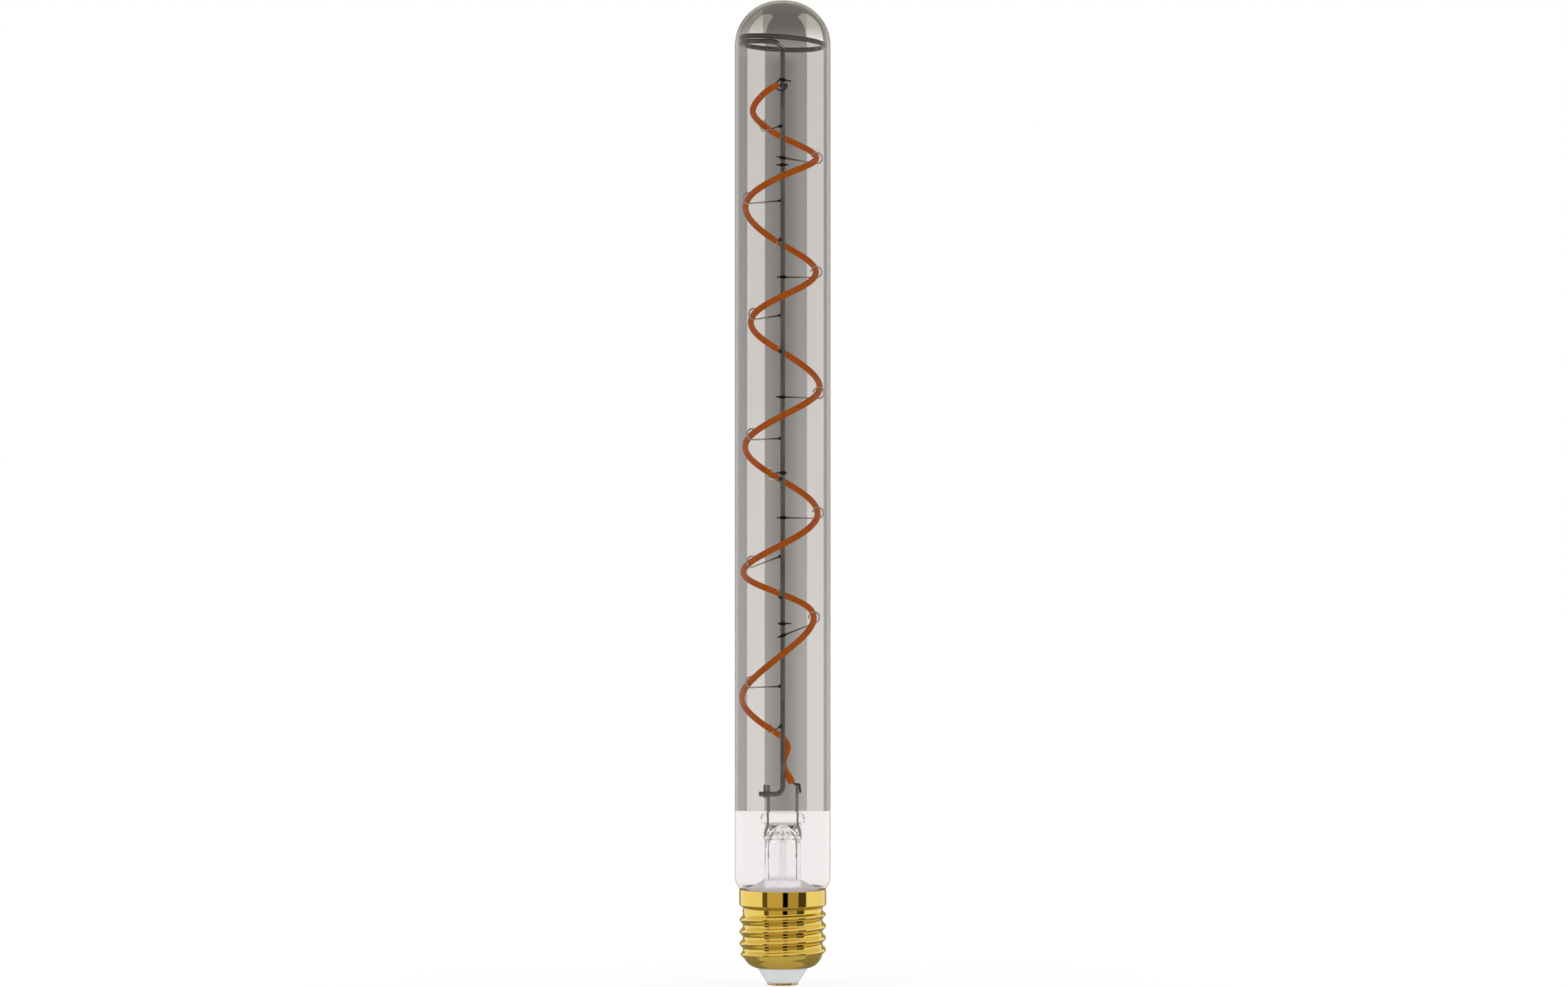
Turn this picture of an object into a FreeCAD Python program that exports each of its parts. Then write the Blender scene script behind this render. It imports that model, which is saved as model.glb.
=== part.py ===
import FreeCAD, Part
import math
import os
import Sketcher

from FreeCAD import Placement, Rotation, Vector

# A long tubular lamp of smoked glass with one hanging spiral of filament, on a gold screw cap.
# The frame stands on the centre contact: origin in the middle of the contact's face, +Z up to the dome.
# +X is the photograph's right and -Y is towards the viewer.

# Driving sizes, in millimetres and degrees.
SIZES = {
    # the glass bulb
    "overall_length": 300.0,
    "tube_diameter": 29.2,
    "glass_wall": 0.75,
    "dome_crown_radius": 18.9,
    "dome_side_inset": 0.9,
    "shoulder_inset": 3.5,
    "rim_gap": 0.1,
    "seal_angle": 70.0,
    # the glass stem inside it
    "stem_diameter": 11.0,
    "stem_wall": 0.7,
    "flare_angle": 61.0,
    "flare_bend_radius": 2.6,
    "stem_top": 44.0,
    "press_foot": 48.9,
    "press_height": 3.7,
    "press_width": 13.5,
    "press_thickness": 4.6,
    "press_corner_radius": 2.6,
    "press_edge_radius": 2.0,
    "cavity_height": 2.8,
    "cavity_top_radius": 2.5,
    "exhaust_diameter": 2.6,
    "exhaust_bore": 1.4,
    "exhaust_tip": 21.5,
    "port_diameter": 2.2,
    "port_above_cavity": 1.3,
    # the lead wires through the press
    "lead_diameter": 0.95,
    "lead_spacing": 8.7,
    "lead_above_press": 8.1,
    "lead_depth_in_glass": 0.7,
    "seal_wire_diameter": 0.6,
    "seal_wire_foot": 38.7,
    "outer_lead_diameter": 0.3,
    # the support rod, its foot and its top ring
    "rod_diameter": 1.5,
    "rod_offset": 0.6,
    "foot_above_press": 5.5,
    "foot_reach": 7.15,
    "foot_bend_radius": 2.2,
    "pin_diameter": 0.9,
    "pin_above_foot": 2.7,
    "pin_below_foot": 1.2,
    "pin_gap": 0.2,
    "ring_below_top": 13.8,
    "ring_clearance": 0.6,
    "ring_gap": 0.1,
    "ring_lean_left": 0.8,
    "ring_lean_front": 0.45,
    "ring_entry": 2.2,
    "ring_bend_radius": 1.8,
    # the filament and the fine wires that hold it
    "filament_diameter": 1.8,
    "hook_wire": 0.38,
    "hook_loop_radius": 1.66,
    "hook_loop_angle": 265.0,
    "hook_outward": 0.15,
    "hook_glass_gap": 0.1,
    "top_hook_angle": 300.0,
    "terminal_width": 0.9,
    "terminal_thickness": 0.22,
    # the screw cap
    "cap_height": 29.1,
    "band_diameter": 26.6,
    "band_height": 4.9,
    "band_shoulder": 0.7,
    "thread_diameter": 26.4,
    "thread_root": 24.3,
    "thread_pitch": 3.629,
    "thread_start": 8.85,
    "thread_below_band": 0.8598,
    "crest_width": 0.9,
    "flank_width": 2.6,
    "thread_fade": 1.9,
    "cap_sheet": 0.3,
    "bowl_radius": 5.0,
    "bowl_opening": 15.6,
    "bowl_height": 5.1,
    # the insulator and the centre contact
    "insulator_foot_diameter": 10.1,
    "insulator_top_diameter": 18.0,
    "insulator_top": 8.2,
    "insulator_bore": 2.0,
    "contact_diameter": 9.5,
    "contact_thickness": 0.75,
    "contact_edge_radius": 0.3,
    "contact_pin_height": 1.4,
    # the cement between the cap and the bulb
    "cement_height": 3.1,
    "cement_below_rim": 0.4,
    # the driver in the cap
    "board_diameter": 20.0,
    "board_thickness": 1.0,
    "capacitor_diameter": 6.3,
    "capacitor_length": 8.0,
    "capacitor_offset": 5.4,
    "rectifier_length": 4.7,
    "rectifier_width": 3.9,
    "rectifier_height": 2.4,
    "chip_length": 4.4,
    "chip_width": 2.5,
    "chip_height": 1.5,
    "resistor_diameter": 2.3,
    "resistor_length": 6.0,
    "inner_wire_diameter": 0.6,
}

doc = FreeCAD.newDocument("smoked_tube_lamp")
sheet = doc.addObject("Spreadsheet::Sheet", "Sizes")
for row, (name, value) in enumerate(SIZES.items(), 1):
    sheet.set("A%d" % row, name)
    sheet.set("B%d" % row, str(value))
    sheet.setAlias("B%d" % row, name)
doc.recompute()

pieces = []


def size(name):
    """A cell of the sheet as a formula's word."""
    return "Sizes." + name


def value_of(formula):
    """The number that a formula on the sheet's cells gives."""
    if isinstance(formula, (int, float)):
        return float(formula)
    return float(sheet.evalExpression(formula))


def half(name):
    """Half a size as a formula, which makes a radius of a diameter."""
    return "(%s / 2)" % size(name)


# Sketches and solids.


def new_body(label):
    """A body of its own for a sub-part."""
    body = doc.addObject("PartDesign::Body", label)
    body.Label = label
    pieces.append(body)
    return body


def new_sketch(body, name, role="XZ_Plane", lift=0.0):
    """A sketch on one of the body's origin planes, lifted off it by a formula or a number."""
    sketch = body.newObject("Sketcher::SketchObject", name)
    plane = [item for item in body.Origin.OriginFeatures if item.Role == role][0]
    sketch.AttachmentSupport = [(plane, "")]
    sketch.MapMode = "FlatFace"
    sketch.AttachmentOffset = Placement(Vector(0, 0, value_of(lift)), Rotation())
    if isinstance(lift, str):
        sketch.setExpression("AttachmentOffset.Base.z", lift)
    return sketch


def constrain(sketch, formula, kind, *items):
    """Adds a measured constraint and ties it to its formula, where that is one."""
    index = sketch.addConstraint(Sketcher.Constraint(kind, *items, value_of(formula)))
    if isinstance(formula, str):
        sketch.setExpression("Constraints[%d]" % index, formula)


def arc_between(start, end, radius):
    """The smaller arc between two points. A positive radius has its centre on the left of the way."""
    middle = (start + end) * 0.5
    reach = (end - start) * 0.5
    left = Vector(-reach.y, reach.x, 0).normalize()
    rise = math.sqrt(max(radius * radius - reach.Length ** 2, 0.0))
    centre = middle + left * math.copysign(rise, radius)
    return Part.Arc(start, centre - left * radius, end)


def draw_outline(sketch, corners, closed=True):
    """Lines and arcs through corners, each (x, y) or (x, y, (radius, side)), as formulas or numbers.

    The third item makes the way to the next corner an arc. Side 1 has its centre on the left of the way,
    and side -1 on its right.
    """
    places = [Vector(value_of(corner[0]), value_of(corner[1]), 0) for corner in corners]
    count = len(corners) if closed else len(corners) - 1
    for index in range(count):
        start, end = places[index], places[(index + 1) % len(places)]
        if len(corners[index]) > 2:
            radius, side = corners[index][2]
            sketch.addGeometry(arc_between(start, end, side * value_of(radius)))
        else:
            sketch.addGeometry(Part.LineSegment(start, end))

    def ends(index):
        """Which of a piece's points is its start on the way, and which its end."""
        turns_right = len(corners[index]) > 2 and corners[index][2][1] < 0
        return (2, 1) if turns_right else (1, 2)

    for index in range(count):
        start, end = ends(index)
        constrain(sketch, corners[index][0], "DistanceX", -1, 1, index, start)
        constrain(sketch, corners[index][1], "DistanceY", -1, 1, index, start)
        if len(corners[index]) > 2:
            constrain(sketch, corners[index][2][0], "Radius", index)
        if closed or index + 1 < count:
            following = (index + 1) % count
            joint = Sketcher.Constraint("Coincident", index, end, following, ends(following)[0])
            sketch.addConstraint(joint)
        else:
            constrain(sketch, corners[-1][0], "DistanceX", -1, 1, index, end)
            constrain(sketch, corners[-1][1], "DistanceY", -1, 1, index, end)


def draw_circle(sketch, x, y, diameter):
    """A circle by the formulas of its centre and its diameter."""
    place = Vector(value_of(x), value_of(y), 0)
    index = sketch.addGeometry(Part.Circle(place, Vector(0, 0, 1), value_of(diameter) / 2))
    constrain(sketch, x, "DistanceX", -1, 1, index, 3)
    constrain(sketch, y, "DistanceY", -1, 1, index, 3)
    constrain(sketch, diameter, "Diameter", index)


def turned(body, name, corners, kind="PartDesign::Revolution"):
    """Turns an outline of the XZ plane once round the body's axis, to add it or to cut it away."""
    sketch = new_sketch(body, name + "_outline")
    draw_outline(sketch, corners)
    feature = body.newObject(kind, name)
    feature.Profile = sketch
    feature.ReferenceAxis = (sketch, ["V_Axis"])
    feature.Angle = 360
    return feature


def turned_body(label, corners):
    """A sub-part that is one outline turned round its axis."""
    body = new_body(label)
    turned(body, label + "_turned", corners)
    return body


def bored(body, name, role, lift, x, y, diameter, depth=None):
    """A round hole from a plane of the body: right through both ways, or to a depth along the plane's normal."""
    sketch = new_sketch(body, name + "_circle", role, lift)
    draw_circle(sketch, x, y, diameter)
    hole = body.newObject("PartDesign::Pocket", name)
    hole.Profile = sketch
    if depth is None:
        hole.Type = "ThroughAll"
        hole.Midplane = True
    else:
        hole.Reversed = True
        hole.Length = value_of(depth)
        hole.setExpression("Length", depth)


def straight_wire(label, diameter, place, length, turn=None):
    """A straight round piece: upright from a place given by formulas, or laid down by a turn."""
    wire = doc.addObject("Part::Cylinder", label)
    wire.Label = label
    wire.Placement = Placement(Vector(), turn or Rotation())
    wire.setExpression("Radius", "%s / 2" % diameter)
    wire.setExpression("Height", length)
    for axis, formula in zip("xyz", place):
        wire.setExpression("Placement.Base." + axis, formula)
    pieces.append(wire)


def block(label, length, width, height, place):
    """A square-edged part of the driver, by its sizes and the formulas of its lowest corner."""
    box = doc.addObject("Part::Box", label)
    box.Label = label
    box.setExpression("Length", length)
    box.setExpression("Width", width)
    box.setExpression("Height", height)
    for axis, formula in zip("xyz", place):
        box.setExpression("Placement.Base." + axis, formula)
    pieces.append(box)


def shaped(label, shape, place=None):
    """A sub-part whose shape comes from the solid functions, at its place."""
    feature = doc.addObject("Part::Feature", label)
    feature.Label = label
    feature.Shape = shape
    if place:
        feature.Placement = place
    pieces.append(feature)


def bent_line(points, bends=None):
    """Straight runs joined by tangent arcs.

    An arc takes 0.45 of the shorter run beside it, so its radius is that length / tan(half the turn).
    Bends names the corners that have a radius of their own.
    """
    edges = []
    start = points[0]
    for index in range(1, len(points) - 1):
        corner = points[index]
        come = corner - points[index - 1]
        go = points[index + 1] - corner
        slope = math.tan(come.getAngle(go) / 2)
        cut = 0.45 * min(come.Length, go.Length)
        if bends and index in bends:
            cut = bends[index] * slope
        radius = cut / slope
        come.normalize()
        go.normalize()
        leave = corner - come * cut
        join = corner + go * cut
        crown = corner + (go - come).normalize() * (math.hypot(radius, cut) - radius)
        edges.append(Part.LineSegment(start, leave).toShape())
        edges.append(Part.Arc(leave, crown, join).toShape())
        start = join
    edges.append(Part.LineSegment(start, points[-1]).toShape())
    return Part.Wire(edges)


def wire_solid(points, diameter, sides=None, bends=None):
    """A wire along a bent line. With sides it is drawn with that many flats round its true section."""
    toward = points[1] - points[0]
    if sides is None:
        rim = Part.Wire(Part.makeCircle(diameter / 2, points[0], toward))
    else:
        corner = diameter / 2 / math.cos(math.pi / sides)
        turn = Rotation(Vector(0, 0, 1), toward)
        spokes = [2 * math.pi * (step + 0.5) / sides for step in range(sides)]
        ring = [turn.multVec(Vector(math.cos(a), math.sin(a), 0)) * corner + points[0] for a in spokes]
        rim = Part.makePolygon(ring + ring[:1])
    return bent_line(points, bends).makePipe(Part.Face(rim))


# The glass bulb: a long tube with a dome on top and a rounded shoulder at its foot, blown in one piece.
# The shoulder is drawn about a centre inside the cap's band, at the height at which it just clears the rim.
wall = size("glass_wall")
tube_radius = half("tube_diameter")
tube_inner = "(%s - %s)" % (tube_radius, wall)
band = half("band_diameter")
band_inner = "(%s - %s)" % (band, size("cap_sheet"))
shoulder_x = "(%s - %s)" % (band_inner, size("shoulder_inset"))
shoulder = "(%s - %s)" % (tube_radius, shoulder_x)
shoulder_inner = "(%s - %s)" % (shoulder, wall)
shoulder_rise = "sqrt(%s ^ 2 - (%s - %s) ^ 2)" % (shoulder, size("shoulder_inset"), size("rim_gap"))
shoulder_z = "(%s + %s)" % (size("cap_height"), shoulder_rise)


def on_shoulder(radius, angle):
    """A point of the shoulder's arc, at an angle below the level of its centre."""
    x = "(%s + %s * cos(%s))" % (shoulder_x, radius, angle)
    return x, "(%s - %s * sin(%s))" % (shoulder_z, radius, angle)


seal_outer = on_shoulder(shoulder, size("seal_angle"))
seal_inner = on_shoulder(shoulder_inner, size("seal_angle"))
crown = size("dome_crown_radius")
crown_z = "(%s - %s)" % (size("overall_length"), crown)
dome_side = "(%s - %s)" % (tube_radius, size("dome_side_inset"))
dome_lean = "asin((%s - %s) / (%s - %s))" % (tube_radius, dome_side, crown, dome_side)
dome_z = "(%s + (%s - %s) * cos(%s))" % (crown_z, crown, dome_side, dome_lean)


def on_crown(radius):
    """Where the flatter crown of the dome passes into its side."""
    return "(%s * sin(%s))" % (radius, dome_lean), "(%s + %s * cos(%s))" % (crown_z, radius, dome_lean)


crown_inner = "(%s - %s)" % (crown, wall)
turned_body("glass_envelope", [
    (*seal_outer, (shoulder, 1)),
    (tube_radius, shoulder_z),
    (tube_radius, dome_z, (dome_side, 1)),
    (*on_crown(crown), (crown, 1)),
    (0, size("overall_length")),
    (0, "%s - %s" % (size("overall_length"), wall), (crown_inner, -1)),
    (*on_crown(crown_inner), ("(%s - %s)" % (dome_side, wall), -1)),
    (tube_inner, dome_z),
    (tube_inner, shoulder_z, (shoulder_inner, -1)),
    seal_inner,
])

# The stem: a tube flared out to the bulb's shoulder, its top pinched flat round the lead wires.
stem_radius = half("stem_diameter")
stem_inner = "(%s - %s)" % (stem_radius, size("stem_wall"))
flare = size("flare_angle")
bend = size("flare_bend_radius")
bend_inner = "(%s + %s)" % (bend, size("stem_wall"))
bend_x = "(%s + %s)" % (stem_radius, bend)
flare_x = "(%s - %s * cos(%s))" % (bend_x, bend, flare)
flare_z = "(%s + (%s - %s) / tan(%s))" % (seal_inner[1], seal_inner[0], flare_x, flare)
bend_z = "(%s + %s * sin(%s))" % (flare_z, bend, flare)
stem_flare = turned_body("stem_flare", [
    seal_outer,
    seal_inner,
    (flare_x, flare_z, (bend, -1)),
    (stem_radius, bend_z),
    (stem_radius, size("stem_top")),
    (stem_inner, size("stem_top")),
    (stem_inner, bend_z, (bend_inner, 1)),
    ("%s - %s * cos(%s)" % (bend_x, bend_inner, flare), "%s - %s * sin(%s)" % (bend_z, bend_inner, flare)),
])


def draw_rounded_slab(sketch, width, depth, radius):
    """A rectangle with round corners about the sketch's origin."""
    x, y = "(%s / 2)" % width, "(%s / 2)" % depth
    near_x, near_y = "(%s - %s)" % (x, radius), "(%s - %s)" % (y, radius)
    corner = (radius, 1)
    draw_outline(sketch, [
        (x, "-" + near_y),
        (x, near_y, corner),
        (near_x, y),
        ("-" + near_x, y, corner),
        ("-" + x, near_y),
        ("-" + x, "-" + near_y, corner),
        ("-" + near_x, "-" + y),
        (near_x, "-" + y, corner),
    ])


press_foot = size("press_foot")
press_top = "(%s + %s)" % (press_foot, size("press_height"))
round_mouth = new_sketch(stem_flare, "stem_round", "XY_Plane", size("stem_top"))
draw_circle(round_mouth, 0, 0, size("stem_diameter"))
flat_mouth = new_sketch(stem_flare, "stem_flat", "XY_Plane", press_foot)
draw_rounded_slab(flat_mouth, size("press_width"), size("press_thickness"), size("press_edge_radius"))
pinch = stem_flare.newObject("PartDesign::AdditiveLoft", "Pinch")
pinch.Profile = round_mouth
pinch.Sections = [flat_mouth]

press_x = half("press_width")
press_corner = size("press_corner_radius")
press_side = new_sketch(stem_flare, "press_side")
draw_outline(press_side, [
    ("-" + press_x, press_foot),
    (press_x, press_foot),
    (press_x, "%s - %s" % (press_top, press_corner), (press_corner, 1)),
    ("%s - %s" % (press_x, press_corner), press_top),
    ("-(%s - %s)" % (press_x, press_corner), press_top, (press_corner, 1)),
    ("-" + press_x, "%s - %s" % (press_top, press_corner)),
])
press = stem_flare.newObject("PartDesign::Pad", "Press")
press.Profile = press_side
press.Midplane = True
press.Length = value_of(size("press_thickness"))
press.setExpression("Length", size("press_thickness"))

# The stem's hollow, the holes that the lead wires fill, and the pumping port that opens to the front.
cavity_top = "(%s + %s)" % (size("stem_top"), size("cavity_height"))
turned(stem_flare, "Cavity", [
    (0, size("stem_top")),
    (stem_inner, size("stem_top")),
    (size("cavity_top_radius"), cavity_top),
    (0, cavity_top),
], "PartDesign::Groove")
lead_x = half("lead_spacing")
lead_y = "((%s + %s) / 2 - %s)" % (size("rod_diameter"), size("lead_diameter"), size("rod_offset"))
lead_foot = "(%s - %s)" % (press_top, size("lead_depth_in_glass"))
lead_head = "(%s + %s)" % (press_top, size("lead_above_press"))
SIDES = {"left": "-" + lead_x, "right": lead_x}
for side, x in SIDES.items():
    bored(stem_flare, "Seal_hole_" + side, "XY_Plane", 0, x, lead_y, size("seal_wire_diameter"))
    bored(
        stem_flare, "Lead_hole_" + side, "XY_Plane", lead_foot,
        x, lead_y, size("lead_diameter"), size("press_height"),
    )
port_rise = size("port_above_cavity")
bored(stem_flare, "Exhaust_hole", "XY_Plane", cavity_top, 0, 0, size("exhaust_bore"), port_rise)
bored(
    stem_flare, "Port", "XZ_Plane", 0,
    0, "%s + %s" % (cavity_top, port_rise), size("port_diameter"), size("stem_diameter"),
)

# The exhaust tube, through which the bulb was pumped and filled, with its foot melted shut.
exhaust = half("exhaust_diameter")
exhaust_bore = half("exhaust_bore")
exhaust_round = "(%s + %s)" % (size("exhaust_tip"), exhaust)
turned_body("exhaust_tube", [
    (0, size("exhaust_tip"), (exhaust, 1)),
    (exhaust, exhaust_round),
    (exhaust, cavity_top),
    (exhaust_bore, cavity_top),
    (exhaust_bore, exhaust_round, (exhaust_bore, -1)),
    (0, "%s - %s" % (exhaust_round, exhaust_bore)),
])

# The lead wires: stiff ones in the bulb, thin seal wires in the glass, and soft tails down to the driver.
board_top = "(%s + %s)" % (size("insulator_top"), size("board_thickness"))
for side, x in SIDES.items():
    inner_length = "%s - %s" % (lead_head, lead_foot)
    straight_wire("inner_lead_" + side, size("lead_diameter"), (x, lead_y, lead_foot), inner_length)
    seal_length = "%s - %s" % (lead_foot, size("seal_wire_foot"))
    seal_place = (x, lead_y, size("seal_wire_foot"))
    straight_wire("seal_wire_" + side, size("seal_wire_diameter"), seal_place, seal_length)

lead_start_z = value_of(size("seal_wire_foot"))
lead_end_z = value_of(board_top)
lead_tail = value_of(size("outer_lead_diameter"))
LEAD_STRAIGHT = 1.5
# Each tail wanders a little on its way: x outwards from the axis, y to the back, and the share of its drop.
OUTER_LEADS = {
    "left": [(4.2, 0.8, 0.17), (4.6, 2.0, 0.40), (3.2, 5.0, 0.68), (1.6, 6.5, 0.90), (1.6, 6.5, 1.0)],
    "right": [(4.3, 0.9, 0.20), (4.5, 2.2, 0.42), (3.4, 5.6, 0.66), (1.8, 6.9, 0.91), (1.8, 6.9, 1.0)],
}
for side, route in OUTER_LEADS.items():
    sign = math.copysign(1, value_of(SIDES[side]))
    points = [Vector(value_of(SIDES[side]), value_of(lead_y), lead_start_z - drop) for drop in (0, LEAD_STRAIGHT)]
    points += [Vector(sign * x, y, lead_start_z + share * (lead_end_z - lead_start_z)) for x, y, share in route]
    shaped("outer_lead_" + side, wire_solid(points, lead_tail, 6))

# The support rod: a foot laid across the left lead, the long upright, and a sprung ring in the dome.
rod = value_of(size("rod_diameter"))
rod_y = -value_of(size("rod_offset"))
foot_height = "(%s + %s)" % (press_top, size("foot_above_press"))
foot_z = value_of(foot_height)
ring_radius = value_of(tube_inner) - value_of(size("ring_clearance")) - rod / 2
ring_z = value_of(size("overall_length")) - value_of(size("ring_below_top"))
ring_rise = rod + value_of(size("ring_gap"))
lean_left = value_of(size("ring_lean_left")) / ring_radius
lean_front = value_of(size("ring_lean_front")) / ring_radius
entry_x = value_of(size("ring_entry"))
entry_angle = 270 - math.degrees(math.asin(entry_x / ring_radius))
RING_CORNERS = 16
RING_TURNS_TO_END = 1.25


def on_ring(radius, angle):
    """A point of the ring, which climbs a rod's width a turn and leans up to the left and the front."""
    x = radius * math.cos(math.radians(angle))
    y = radius * math.sin(math.radians(angle))
    return Vector(x, y, ring_z + ring_rise * (entry_angle - angle) / 360 - lean_left * x - lean_front * y)


ring_step = 360 / RING_CORNERS
corner_radius = ring_radius / math.cos(math.radians(ring_step / 2))
last_side = round(RING_TURNS_TO_END * RING_CORNERS)
ring_angles = [270 - ring_step * (side + 0.5) for side in range(1, last_side)]
rod_points = [
    Vector(-value_of(size("foot_reach")), rod_y, foot_z),
    Vector(0, rod_y, foot_z),
    Vector(0, rod_y, ring_z),
    on_ring(ring_radius, entry_angle),
]
rod_points += [on_ring(corner_radius, angle) for angle in ring_angles]
rod_points.append(on_ring(ring_radius, 270 - ring_step * last_side))
foot_bend = value_of(size("foot_bend_radius"))
rod_bends = {1: foot_bend, 2: foot_bend, 3: value_of(size("ring_bend_radius"))}
shaped("support_rod", wire_solid(rod_points, rod, bends=rod_bends))

pin = size("pin_diameter")
pin_x = "-(%s + (%s + %s) / 2 + %s)" % (lead_x, size("lead_diameter"), pin, size("pin_gap"))
pin_y = "(%s + %s) / 2 - %s" % (size("rod_diameter"), pin, size("rod_offset"))
pin_z = "%s - %s" % (foot_height, size("pin_below_foot"))
straight_wire(
    "foot_pin", pin, (pin_x, pin_y, pin_z), "%s + %s" % (size("pin_below_foot"), size("pin_above_foot")),
)

# The filament: one flexible strand hung as a slow spiral of about five turns, tighter at its top.
# Its route is a row for each quarter turn, down from the left side and clockwise from above.
# A row is its share of the tube's inner radius and its share of the way from the leads' tops to the crown.
QUARTERS = [
    (0.6570, 0.85875), (0.6859, 0.82783), (0.7401, 0.80025), (0.7798, 0.77434),
    (0.8231, 0.73590), (0.7798, 0.69076), (0.7329, 0.65399), (0.7365, 0.62181),
    (0.7004, 0.58964), (0.7509, 0.55328), (0.8195, 0.50857), (0.8159, 0.47054),
    (0.8303, 0.43042), (0.7942, 0.38822), (0.7690, 0.34726), (0.8087, 0.30756),
    (0.8736, 0.27079), (0.7798, 0.24237), (0.6823, 0.21396), (0.7365, 0.16883),
    (0.9170, 0.10865), (0.5776, 0.06059),
]
STEPS_A_QUARTER = 3
CORNER_REACH = 1.03
filament = value_of(size("filament_diameter"))
lead_top = value_of(lead_head)
inner_radius = value_of(tube_inner)


def at_height(share):
    """The height at a share of the way from the leads' tops to the crown."""
    return lead_top + share * (value_of(size("overall_length")) - lead_top)


def between(before, start, end, after, share):
    """A smooth curve from start to end, (2s^3 - 3s^2 + 1)a + (s^3 - 2s^2 + s)a' + (3s^2 - 2s^3)b + (s^3 - s^2)b'."""
    s, s2, s3 = share, share ** 2, share ** 3
    leaving = (end - before) / 2
    arriving = (after - start) / 2
    return (2 * s3 - 3 * s2 + 1) * start + (s3 - 2 * s2 + s) * leaving + (3 * s2 - 2 * s3) * end + (s3 - s2) * arriving


def on_spiral(quarter, reach=1.0):
    """The filament's centre after a number of quarter turns."""
    index = min(int(quarter), len(QUARTERS) - 2)
    corners = [QUARTERS[min(max(index + k, 0), len(QUARTERS) - 1)] for k in (-1, 0, 1, 2)]
    radius, height = [between(*column, quarter - index) for column in zip(*corners)]
    angle = math.radians(180 - 90 * quarter)
    radius *= reach * inner_radius
    return Vector(radius * math.cos(angle), radius * math.sin(angle), at_height(height))


# The strand's head comes down from the rod. It lies in line with the strip that holds it, in plan.
strip = value_of(size("terminal_thickness"))
strip_width = value_of(size("terminal_width"))
head = Vector(-1.9, -2.6, at_height(0.89135))
to_rod = Vector(0, rod_y, 0) - Vector(head.x, head.y, 0)
strip_offset = rod / 2 + strip / 2
strip_bearing = math.atan2(to_rod.y, to_rod.x) - math.asin(strip_offset / to_rod.Length)
strip_reach = math.sqrt(to_rod.Length ** 2 - strip_offset ** 2)
HEAD_RUN = 2.9
HEAD_DROP = 1.5
head_low = head - Vector(math.cos(strip_bearing), math.sin(strip_bearing), 0) * HEAD_RUN - Vector(0, 0, HEAD_DROP)
head_points = [
    head,
    head_low,
    Vector(-0.4765 * inner_radius, -0.3321 * inner_radius, at_height(0.87631)),
    Vector(-0.6065 * inner_radius, -0.2310 * inner_radius, at_height(0.86795)),
]

# Its tail folds in behind the rod and ends above the right lead.
tail = Vector(2.6, value_of(lead_y), lead_top + 1.2)
tail_points = [
    Vector(1.9, 6.3, lead_top + 11.9),
    Vector(1.3, 5.2, lead_top + 9.7),
    Vector(0.1, 3.9, lead_top + 7.3),
    Vector(0.4, 2.2, lead_top + 5.2),
    Vector(1.6, value_of(lead_y), lead_top + 3.1),
    tail,
]
steps = STEPS_A_QUARTER * (len(QUARTERS) - 1)
spiral_points = [on_spiral(step / STEPS_A_QUARTER, CORNER_REACH) for step in range(steps + 1)]
shaped("filament", wire_solid(head_points + spiral_points + tail_points, filament, 8))


# The strips that weld the strand's ends to the rod and to the right lead.


def strip_face(points, width, start_edge=None):
    """A band along points of the XZ plane, mitred at its corners. Its start can lie along a given edge."""
    runs = [(b - a).normalize() for a, b in zip(points, points[1:])]
    across = [Vector(-run.z, 0, run.x) for run in runs]
    edges = [start_edge or across[0]]
    edges += [one + other for one, other in zip(across, across[1:])]
    edges.append(across[-1])
    offsets = [edge * (width / 2 / edge.dot(side)) for edge, side in zip(edges, across + across[-1:])]
    rim = [point + offset for point, offset in zip(points, offsets)]
    rim += [point - offset for point, offset in zip(reversed(points), reversed(offsets))]
    return Part.Face(Part.makePolygon(rim + rim[:1]))


def strip_solid(face, depth):
    """A band given its depth, half to each side of its plane."""
    face.translate(Vector(0, -depth / 2, 0))
    return face.extrude(Vector(0, depth, 0))


STRIP_OVERHANG = 0.6
head_edge = Vector(-HEAD_DROP, 0, HEAD_RUN)
head_strip = strip_face([Vector(), Vector(strip_reach + STRIP_OVERHANG, 0, 0)], strip_width, head_edge)
shaped(
    "filament_terminal_top",
    strip_solid(head_strip, strip),
    Placement(head, Rotation(Vector(0, 0, 1), math.degrees(strip_bearing))),
)
lead_edge = value_of(lead_x) + value_of(size("lead_diameter")) / 2
on_lead = lead_top + strip / 2
tail_run = tail - tail_points[-2]
tail_strip = strip_face([
    Vector(tail.x, 0, tail.z),
    Vector(value_of(lead_x) - value_of(size("lead_diameter")) / 2, 0, on_lead),
    Vector(lead_edge + strip * 0.7, 0, on_lead),
    Vector(lead_edge + strip * 2, 0, on_lead - 2.3),
], strip, Vector(-tail_run.z, 0, tail_run.x))
shaped(
    "filament_terminal_bottom",
    strip_solid(tail_strip, strip_width),
    Placement(Vector(0, value_of(lead_y), 0), Rotation()),
)

# The hooks: fine wires welded to the rod, each with an open eye round the strand.
# Each row is the quarter turns down the strand, the weld's height over the strand there, and the way it points.
HOOKS = [
    (0.57, -0.7, "back"), (2.05, 0.1, "right"), (3.73, -0.5, "left"), (4.86, -0.4, "back"),
    (6.0, -1.6, "right"), (7.69, -0.2, "left"), (8.91, -0.9, "back"), (10.22, -1.2, "right"),
    (11.59, -1.2, "left"), (12.77, -1.8, "back"), (14.0, -1.5, "right"), (15.58, 1.6, "left"),
    (16.89, -1.4, "back"), (18.0, -5.4, "right"), (19.6, -1.5, "left"), (20.72, 1.2, "back"),
]
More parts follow.
